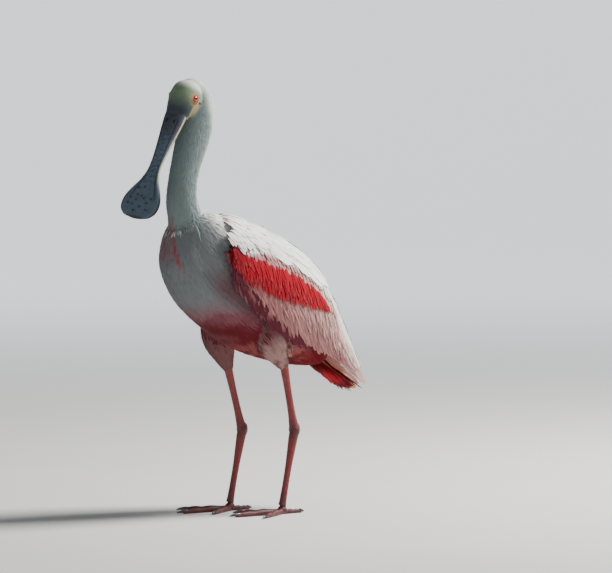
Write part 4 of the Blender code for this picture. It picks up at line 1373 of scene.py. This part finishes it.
# Markings: the white patch as middle place and degrees and their half spans, and lines
# as places and the degrees there.
OVAL = (2.72, 62, 0.62, 18)
CARMINE_TOP = ((2.3, 2.8, 3.25, 3.65, 4.6, 5.5), (81, 75, 70, 67, 60, 63))
CARMINE_LOW = ((2.3, 2.6, 3.1, 4.05, 4.7, 5.5), (96, 101, 102, 95, 87, 70))
WING_EDGE = ((1.9, 2.6, 3.25, 3.85, 4.5, 5.4, 6.4, 7.6), (80, 99, 110, 118, 122, 123, 121, 116))
STREAK_TOP = ((2.5, 4.8, 5.6, 7.7), (92, 80, 58, 70))
CARMINE_PLUMES, STREAKS, OVAL_PLUMES, EDGE_PLUMES = 430, 330, 90, 260
# Shape of one vane: hollow as a share of the width, unevenness, shaft and tip in mm, and
# the share of its length after which it stands free of the skin.
CUP, TAIL_CUP = 0.035, 0.05
RIPPLE, VANE_GRAIN = 0.22, 0.05
SHAFT_RISE, SHAFT_SHARE = 0.10, 0.08
TIP_SAG = 0.5
EMERGED = 0.2


def vane_profile(rows, blunt, root=0.45):
    """Shares of a vane's length, and of its width there."""
    share = np.linspace(0, 1, rows) ** 0.92
    body = root + (1 - root) * ease(share, 0.0, 0.26)
    end = np.sqrt(np.clip(1 - (np.maximum(share - blunt, 0) / (1 - blunt)) ** 2, 0, 1))
    return share, body * (0.08 + 0.92 * end)


def vane_spread(width, broad, across, draw, fray, lean, cup, form=0.0):
    """How far aside and over its middle line each point of the vanes lies."""
    width, broad = width[:, None, None], broad[None, :, None]
    shape = (len(width), broad.shape[1], len(across))
    ragged = 1 + fray * draw.normal(size=shape) * np.abs(across) ** 3
    level = (lean * across - cup * width * across ** 2) * broad + form
    return width / 2 * broad * across * ragged, level + draw.normal(0, VANE_GRAIN, shape)


def lay_vanes(coat, side, roots, tips, width, lifts, draw, tint_at, rows, blunt, lean,
              columns=7, sway=0.0, thick=0.4, depth=-5.2, fray=0.05):
    """Vanes from roots to tips, both (N, 2) of place and degrees, on one side."""
    number = len(roots)
    share, broad = vane_profile(rows, blunt)
    place, degrees = (roots[:, None, i] + (tips - roots)[:, None, i] * share for i in (0, 1))
    degrees = degrees + sway * np.sin(math.pi * share)[None]
    low, high = (np.broadcast_to(np.asarray(v, float), (number,))[:, None] for v in lifts)
    past = np.clip((share - EMERGED) / (1 - EMERGED), 0, 1)
    lift = np.where(share < EMERGED, depth + (low - depth) * share / EMERGED,
                    low + (high - low) * past)
    middle = body_point(place, degrees, lift + draw.normal(0, RIPPLE, (number, 1)) * past)
    ahead = unit(np.gradient(middle, axis=1))
    aside = unit(np.cross(ahead, body_normal(place, np.radians(degrees))))
    over = unit(np.cross(aside, ahead))
    across = np.linspace(-1, 1, columns)
    shape = (number, rows, columns)
    form = SHAFT_RISE * (np.abs(across) < SHAFT_SHARE)
    form = form - TIP_SAG * ease(share, 0.8, 1.0)[None, :, None]
    half, level = vane_spread(width, broad, across, draw, fray, lean, CUP, form)
    top = middle[:, :, None] + aside[:, :, None] * half[..., None]
    top = top + over[:, :, None] * level[..., None]
    under = top - over[:, :, None] * thick
    p, q, t = (np.broadcast_to(v[..., None], shape) for v in (place, degrees, share[None]))
    tints = tint_at(p, q, t, np.abs(across), draw)
    if side < 0:
        top, under = (v[:, :, ::-1] * (-1, 1, 1) for v in (top, under))
        tints, half = tints[:, :, ::-1], half[..., ::-1]
    coat.add(top, under, tints, half, np.broadcast_to(run_along(middle)[..., None], shape),
             np.stack([0.5 + roots[:, 1] / 260.0, 0.04 + roots[:, 0] / 11.0], -1))


def lay_loose(coat, side, draw, p, q, reach, fall, lift, dip, width, tint_at, blunt,
              rows=9, thick=0.3, depth=-1.5, fray=0.05):
    """Loose plumes rooted at p, q; each span is drawn from, and an array is kept."""
    def drawn(span):
        return draw.uniform(*span, len(p)) if isinstance(span, tuple) else span

    roots = np.stack([p, q], -1)
    tips = roots + np.stack([drawn(reach), drawn(fall)], -1)
    lift = drawn(lift)
    lay_vanes(coat, side, roots, tips, drawn(width), (lift - dip, lift), draw, tint_at,
              rows, blunt, 0.3, columns=5, thick=thick, depth=depth, fray=fray)


def own_chance(p, draw):
    return draw.normal(0, 1, (len(p), 1, 1))


def lit(tint, draw, amount):
    """Gives each vane its own lightness."""
    return np.clip(tint * (1 + amount * draw.normal(size=(len(tint), 1, 1, 1))), 0, 1)


def wing_colours(p, q, own):
    """Colour of the folded wing by place and degrees; own is each feather's chance."""
    rear = ease(p + 0.02 * (80 - q), 3.4, 6.6)
    edge = np.interp(p, *WING_EDGE) - q
    front = (1 - ease(p + 0.03 * edge, 3.0, 4.6)) * ease(q, 66, 90)
    slope = q - OVAL[1] + 16 * (p - OVAL[0])
    patch = 1 - ease(np.hypot((p - OVAL[0]) / OVAL[2], slope / OVAL[3]), 0.8, 1.15)
    return painted(
        WING_PINK, p.shape,
        (WING_PALE, 0.10 + 0.75 * rear + 0.13 * own),
        # Painted shade over the wing's lower front and along its lower edge.
        (WING_SHADE, front * (0.62 + 0.12 * own)),
        (WING_SHADE, (1 - ease(edge, 2, 13)) * (1 - ease(p, 4.8, 6.2)) * 0.9),
        (WHITE, ease(p, 6.0, 8.4) * (1 - ease(q, 50, 88)) * 0.5),
        (WING_PINK, ease(q, 84, 108) * ease(p, 4.6, 6.4) * 0.75),
        (WHITE, (1 - ease(q - np.interp(p, *CARMINE_TOP), -10, -2)) * 0.9),
        (WHITE, patch * 0.95))


def tier_tint(tier):
    def tint_at(p, q, t, c, draw):
        own = own_chance(p, draw)
        pale = (tier != "secondaries") * 0.10 + 0.06 + 0.04 * own
        # Painted shade on the roots that lie under the carmine plumes.
        inner = (1 - ease(t, 0.0, 0.6)) * ease(q - np.interp(p, *CARMINE_TOP), -12, 0)
        tint = paint(wing_colours(p, q, own), (WHITE, ease(c, 0.5, 1.0) * pale),
                     (np.array(WING_SHADE) * 1.5, inner * 0.3))
        return lit(tint, draw, 0.05)
    return tint_at


def streak_tint(p, q, t, c, draw):
    return lit(wing_colours(p, q, own_chance(p, draw)), draw, 0.16)


def scapular_tint(p, q, t, c, draw):
    tint = painted(WHITE, p.shape, (WING_PALE, (1 - ease(t, 0.1, 0.7)) * 0.5),
                   (WING_PALE, ease(p, 4.6, 6.6) * 0.35))
    return lit(tint, draw, 0.05)


def carmine_tint(p, q, t, c, draw):
    # Deeper towards the shoulder's front as painted shade, with random deeper plumes.
    deep = (1 - ease(p, 2.4, 3.4)) * 0.75 + 0.18 * own_chance(p, draw)
    return painted(CARMINE, p.shape, (DEEP_CARMINE, deep),
                   (WING_PINK, ease(t, 0.80, 1.0) * 0.35))


def oval_tint(p, q, t, c, draw):
    return lit(painted(WHITE, p.shape, (WING_PALE, ease(q, 70, 82) * 0.7)), draw, 0.03)


def edge_tint(p, q, t, c, draw):
    # Dark mauve as painted shade on the lower coverts, deep carmine higher up and white at the
    # top.
    deep = (1 - ease(q, 92, 104)) * (0.5 + 0.2 * own_chance(p, draw))
    return painted(WING_SHADE, p.shape, (DEEP_CARMINE, deep),
                   (WHITE, (1 - ease(q, 66, 78)) * 0.9))


def make_wing(name, side):
    """Flight feathers, coverts with their loose plumes, and scapulars of one wing."""
    draw = np.random.default_rng(WING_SEED + side)
    look = feather_look(f"wing_feather_{name}", 0.0012, 0.8, 0.24, 0.0004)
    flight, coverts, white = Coat(), Coat(), Coat()
    for tier, *ends, count, width, low, high, sag in WING_TIERS:
        k = np.linspace(0, 1, count)[:, None]
        root_a, root_b, tip_a, tip_b = (np.array(end) for end in ends)
        tips = tip_a + (tip_b - tip_a) * k
        tips = tips + draw.normal(0, 1, (count, 1)) * np.array((0.06, 1.4))
        tips[:, 1] += sag * np.sin(math.pi * k[:, 0])
        big = tier in FLIGHT
        lay_vanes(flight if big else coverts, side, root_a + (root_b - root_a) * k, tips,
                  width * draw.uniform(0.92, 1.1, count), (low, high), draw,
                  tier_tint(tier), 20 if big else 13, 0.7, 0.6, sway=-1.5 if big else -0.8)
    for p, first, last, reach, turn, width, count in SCAPULARS:
        q = np.linspace(first, last, count) + draw.normal(0, 0.8, count)
        roots = np.stack([p + draw.normal(0, 0.06, count), q], -1)
        tips = roots + np.stack([reach + draw.normal(0, 0.05, count), turn * q / 38], -1)
        lay_vanes(white, side, roots, tips, width * draw.uniform(0.9, 1.1, count),
                  (-0.6, 2.3), draw, scapular_tint, 18, 0.72, 0.45, depth=-4.5)
    add_streaks(coverts, side, draw)
    add_carmine(coverts, side, draw)
    add_edge(coverts, side, draw)
    add_oval(coverts, side, np.random.default_rng(OVAL_SEED + side))
    flight.build(f"flight_{name}", look, "wing_feathers")
    coverts.build(f"coverts_{name}", look, "wing_feathers", f"wing_{name}")
    white.build(f"scapulars_{name}", look, "wing_feathers")


def add_streaks(coat, side, draw):
    """Thin loose plumes that soften the tiers below the carmine."""
    p = 2.5 + 5.2 * draw.random(STREAKS)
    top, low = np.interp(p, *STREAK_TOP), np.interp(p + 0.5, *WING_EDGE) - 17
    q = top + (low - top) * draw.random(STREAKS)
    lay_loose(coat, side, draw, p, q, (0.5, 0.8), (12, 19), (1.2, 2.2), 1.8, (2.4, 5.0),
              streak_tint, 0.4, thick=0.25, fray=0.10)


def add_carmine(coat, side, draw):
    """The ragged carmine plumes over the shoulder of the folded wing."""
    p = 2.3 + 3.1 * np.sort(draw.random(CARMINE_PLUMES)) ** 1.15
    top, low = np.interp(p, *CARMINE_TOP), np.interp(p, *CARMINE_LOW)
    reach = draw.uniform(0.3, 0.6, len(p))
    fall = draw.uniform(0.4, 0.75, len(p)) * (low - top)
    q = top + (low - top - fall * 0.9) * draw.random(len(p)) ** 1.1
    lift = 3.1 - (q - top) / np.maximum(low - top, 1) + draw.uniform(-0.2, 0.4, len(p))
    lay_loose(coat, side, draw, p, q, reach, fall, lift, 1.6, (3.0, 5.6), carmine_tint,
              0.4, fray=0.12)


def add_oval(coat, side, draw):
    """The smooth white feathers of the patch on the shoulder."""
    spin, far = draw.uniform(0, 2 * math.pi, OVAL_PLUMES), draw.random(OVAL_PLUMES) ** 0.5
    p = OVAL[0] - 0.45 + OVAL[2] * 0.9 * far * np.cos(spin)
    q = OVAL[1] - 4 + OVAL[3] * 0.85 * far * np.sin(spin) - 16 * (p - OVAL[0] + 0.35)
    lay_loose(coat, side, draw, p, q, (0.34, 0.5), (3, 7), (2.4, 3.4), 1.2, (4.5, 7),
              oval_tint, 0.6)


def add_edge(coat, side, draw):
    """Small marginal coverts that round the front and lower edge of the wing."""
    count = EDGE_PLUMES
    p = 2.0 + 3.6 * draw.random(count) ** 1.3
    q = np.interp(p, *WING_EDGE) - draw.uniform(4, 15, count)
    front = draw.random(count) < 0.35
    q = np.where(front, draw.uniform(44, 92, count), q)
    p = np.where(front, 2.1 + 0.0035 * np.abs(q - 62) + draw.uniform(0, 0.5, count), p)
    lay_loose(coat, side, draw, p, q, (0.3, 0.55), (5, 9), (0.6, 2.0), 1.4, (4, 6.5),
              edge_tint, 0.5, rows=7, depth=-3.0)


# Tail: tawny fan with carmine coverts, each row start, reach, level, width, count and
# colour. Rows with a level above 0 lie on the fan, the others under it.

TAIL_ROOT = np.array((0.0, 84.0, 239.0))
TAIL_SLOPE = math.radians(-36)
TAIL_COVERTS = (
    (10, 82, -4.6, 8.0, 23, DEEP_CARMINE), (-2, 84, -6.6, 8.0, 23, DEEP_CARMINE),
    (-16, 84, -8.6, 8.0, 23, CARMINE), (-32, 84, -10.8, 8.0, 21, CARMINE),
    (-46, 82, -12.8, 7.5, 21, DEEP_CARMINE), (-60, 82, -14.6, 7.5, 19, DEEP_CARMINE),
    (-4, 58, 4.6, 10.0, 13, CARMINE), (-20, 58, 7.4, 10.0, 13, CARMINE),
)


def tail_vanes(coat, turns, reach, levels, drop, width, colour, draw, rows, columns,
               start=0.0, blunt=0.8):
    """Vanes of the tail; turns in degrees aside, levels in mm over its plane."""
    share, broad = vane_profile(rows, blunt, 0.5)
    slope = np.array(Matrix.Rotation(TAIL_SLOPE, 3, "X"))
    turn = np.radians(turns)
    ahead = np.stack([np.sin(turn), np.cos(turn), turn * 0], -1) @ slope.T
    up = slope @ np.array((0, 0, 1.0))
    root = TAIL_ROOT + up * levels[:, None] + ahead * start
    run = reach[:, None] * share
    middle = root[:, None] + ahead[:, None] * run[..., None]
    middle = middle + up * (-drop * share - 2.0 * share ** 2)[:, None]
    half, level = vane_spread(width, broad, np.linspace(-1, 1, columns), draw, 0.04, 0.0,
                              TAIL_CUP)
    top = (middle[:, :, None] + np.cross(ahead, up)[:, None, None] * half[..., None]
           + up * level[..., None])
    tint = np.array(colour) * (1 + 0.1 * draw.normal(size=(len(turns), 1, 1, 1)))
    bake = np.stack([0.5 + turns / 60.0,
                     0.1 + 0.004 * (levels + 20) + 0.3 * (start + 20) / 60], -1)
    coat.add(top, top - up * 0.4, np.broadcast_to(tint, top.shape), half,
             np.broadcast_to(run[..., None], half.shape), bake)


def make_tail():
    draw = np.random.default_rng(TAIL_SEED)
    look = feather_look("tail_feather", 0.0012, 0.8, 0.24, 0.0004)
    coat = Coat()
    off = np.arange(12) - 5.5
    tail_vanes(coat, off * 2.6, 98 - np.abs(off) * 1.2, 1.6 - np.abs(off) * 0.9, 0.0,
               np.full(12, 17.0), TAWNY, draw, 26, 9)
    for start, reach, level, width, count, colour in TAIL_COVERTS:
        k = np.linspace(-1, 1, count) + draw.normal(0, 0.04, count)
        sign = 1 if level > 0 else -1
        tail_vanes(coat, k * 21, reach * draw.uniform(0.85, 1.08, count),
                   level - sign * k ** 2 * 3.6, 3.2 if sign > 0 else 1.0,
                   width * draw.uniform(0.85, 1.15, count), colour, draw, 14, 5, start, 0.5)
    coat.build("tail_feathers", look, "tail_feathers", "tail")


# The stage, the lights and the camera at the photograph's place. Degrees and metres,
# with the view's middle in mm.

CAMERA_TURN, CAMERA_RISE, CAMERA_FAR = 53.0, 3.0, 7.0
VIEW_WIDE = 0.927
VIEW_ASIDE, VIEW_LEVEL = 59.0, 342.0
FLOOR_FLAT, FLOOR_END, WALL = 8, 15, 2.6
# Turn, rise, distance, width, height, power and colour.
LIGHTS = {
    "key": (160, 50, 3.0, 0.9, 0.9, 215, (1.0, 0.98, 0.94)),
    "fill": (40, 22, 3.6, 2.6, 2.2, 15, (0.92, 0.96, 1.0)),
}
LIGHT_AIM = np.array((0, 0, 0.38))


def make_stage():
    """A pale floor that rises into a low wall far away, all round."""
    sides = 120
    out = np.concatenate([np.linspace(0.01, FLOOR_FLAT, 40), np.linspace(8.2, FLOOR_END, 60)])
    rise = WALL * ease(out, FLOOR_FLAT, FLOOR_END) - 0.00005
    turn = ring_turns(sides)
    verts = np.stack([out[:, None] * np.cos(turn), out[:, None] * np.sin(turn),
                      rise[:, None] + turn * 0], -1).reshape(-1, 3) / MM
    # The floor's painted glow: none near the bird, full far out, to light the backdrop.
    glow = np.repeat(ease(out, 0.7, 6.5), sides)[:, None] * np.array((0.93, 0.97, 1.0))
    faces = [grid_faces(len(out), sides, True), np.arange(sides)[::-1][None]]
    floor = build_mesh("floor", verts, faces, glow, shift=0)
    floor.data.materials.append(floor_look())


def polar(turn, rise, far):
    """A place round the bird: turn from -Y towards +X and rise, in degrees."""
    a, e = math.radians(turn), math.radians(rise)
    return np.array((far * math.sin(a) * math.cos(e), -far * math.cos(a) * math.cos(e),
                     far * math.sin(e)))


def aim(made, place, ahead):
    made.location = place
    made.rotation_euler = Vector(ahead).to_track_quat("-Z", "Y").to_euler()


def make_lights():
    for name, (turn, rise, far, wide, high, power, colour) in LIGHTS.items():
        data = bpy.data.lights.new(name, "AREA")
        data.shape = "RECTANGLE"
        data.size, data.size_y = wide, high
        data.energy = power
        data.color = colour
        place = polar(turn, rise, far)
        aim(link(name, data), place, LIGHT_AIM - place)
    world = bpy.data.worlds.new("studio")
    bpy.context.scene.world = world
    world.use_nodes = True
    shade = world.node_tree.nodes["Background"]
    shade.inputs["Color"].default_value = (0.86, 0.90, 0.94, 1)
    shade.inputs["Strength"].default_value = 0.17


def make_camera():
    data = bpy.data.cameras.new("photo_view")
    data.sensor_width = 36
    data.lens = data.sensor_width * CAMERA_FAR / VIEW_WIDE
    data.clip_end = 60
    turn = math.radians(CAMERA_TURN)
    right = np.array((math.cos(turn), math.sin(turn), 0))
    target = (right * VIEW_ASIDE + np.array((0, 0, VIEW_LEVEL)) + SHIFT) * MM
    back = polar(CAMERA_TURN, CAMERA_RISE, CAMERA_FAR)
    camera = link("photo_view", data)
    aim(camera, target + back, -back)
    bpy.context.scene.camera = camera


def main():
    body, face = body_skin(), head_skin()
    guide = Guide()
    tints = body_colours(body[0], guide.nearest(body[0]), guide) * SKIN_SHADE
    settle(build_mesh("body_skin", *body, tints),
           skin_look("feather_skin", 320.0, 0.0006, 0.8), "body_feathers",
           "torso", "neck_upper", "neck_lower", "thigh_left", "thigh_right")
    head = build_mesh("head_skin", *face, head_tints(face[0], guide))
    cut_eyes(head)
    settle(head, skin_look("bare_skin", 900.0, 0.0003, 0.62), "head_skin", "head")
    make_eyes()
    make_bill()
    make_legs()
    make_small_coats(Skin(*joined([body, face]), guide), guide)
    for name, side in SIDES.items():
        make_wing(name, side)
    make_tail()
    make_stage()
    make_lights()
    make_camera()


main()
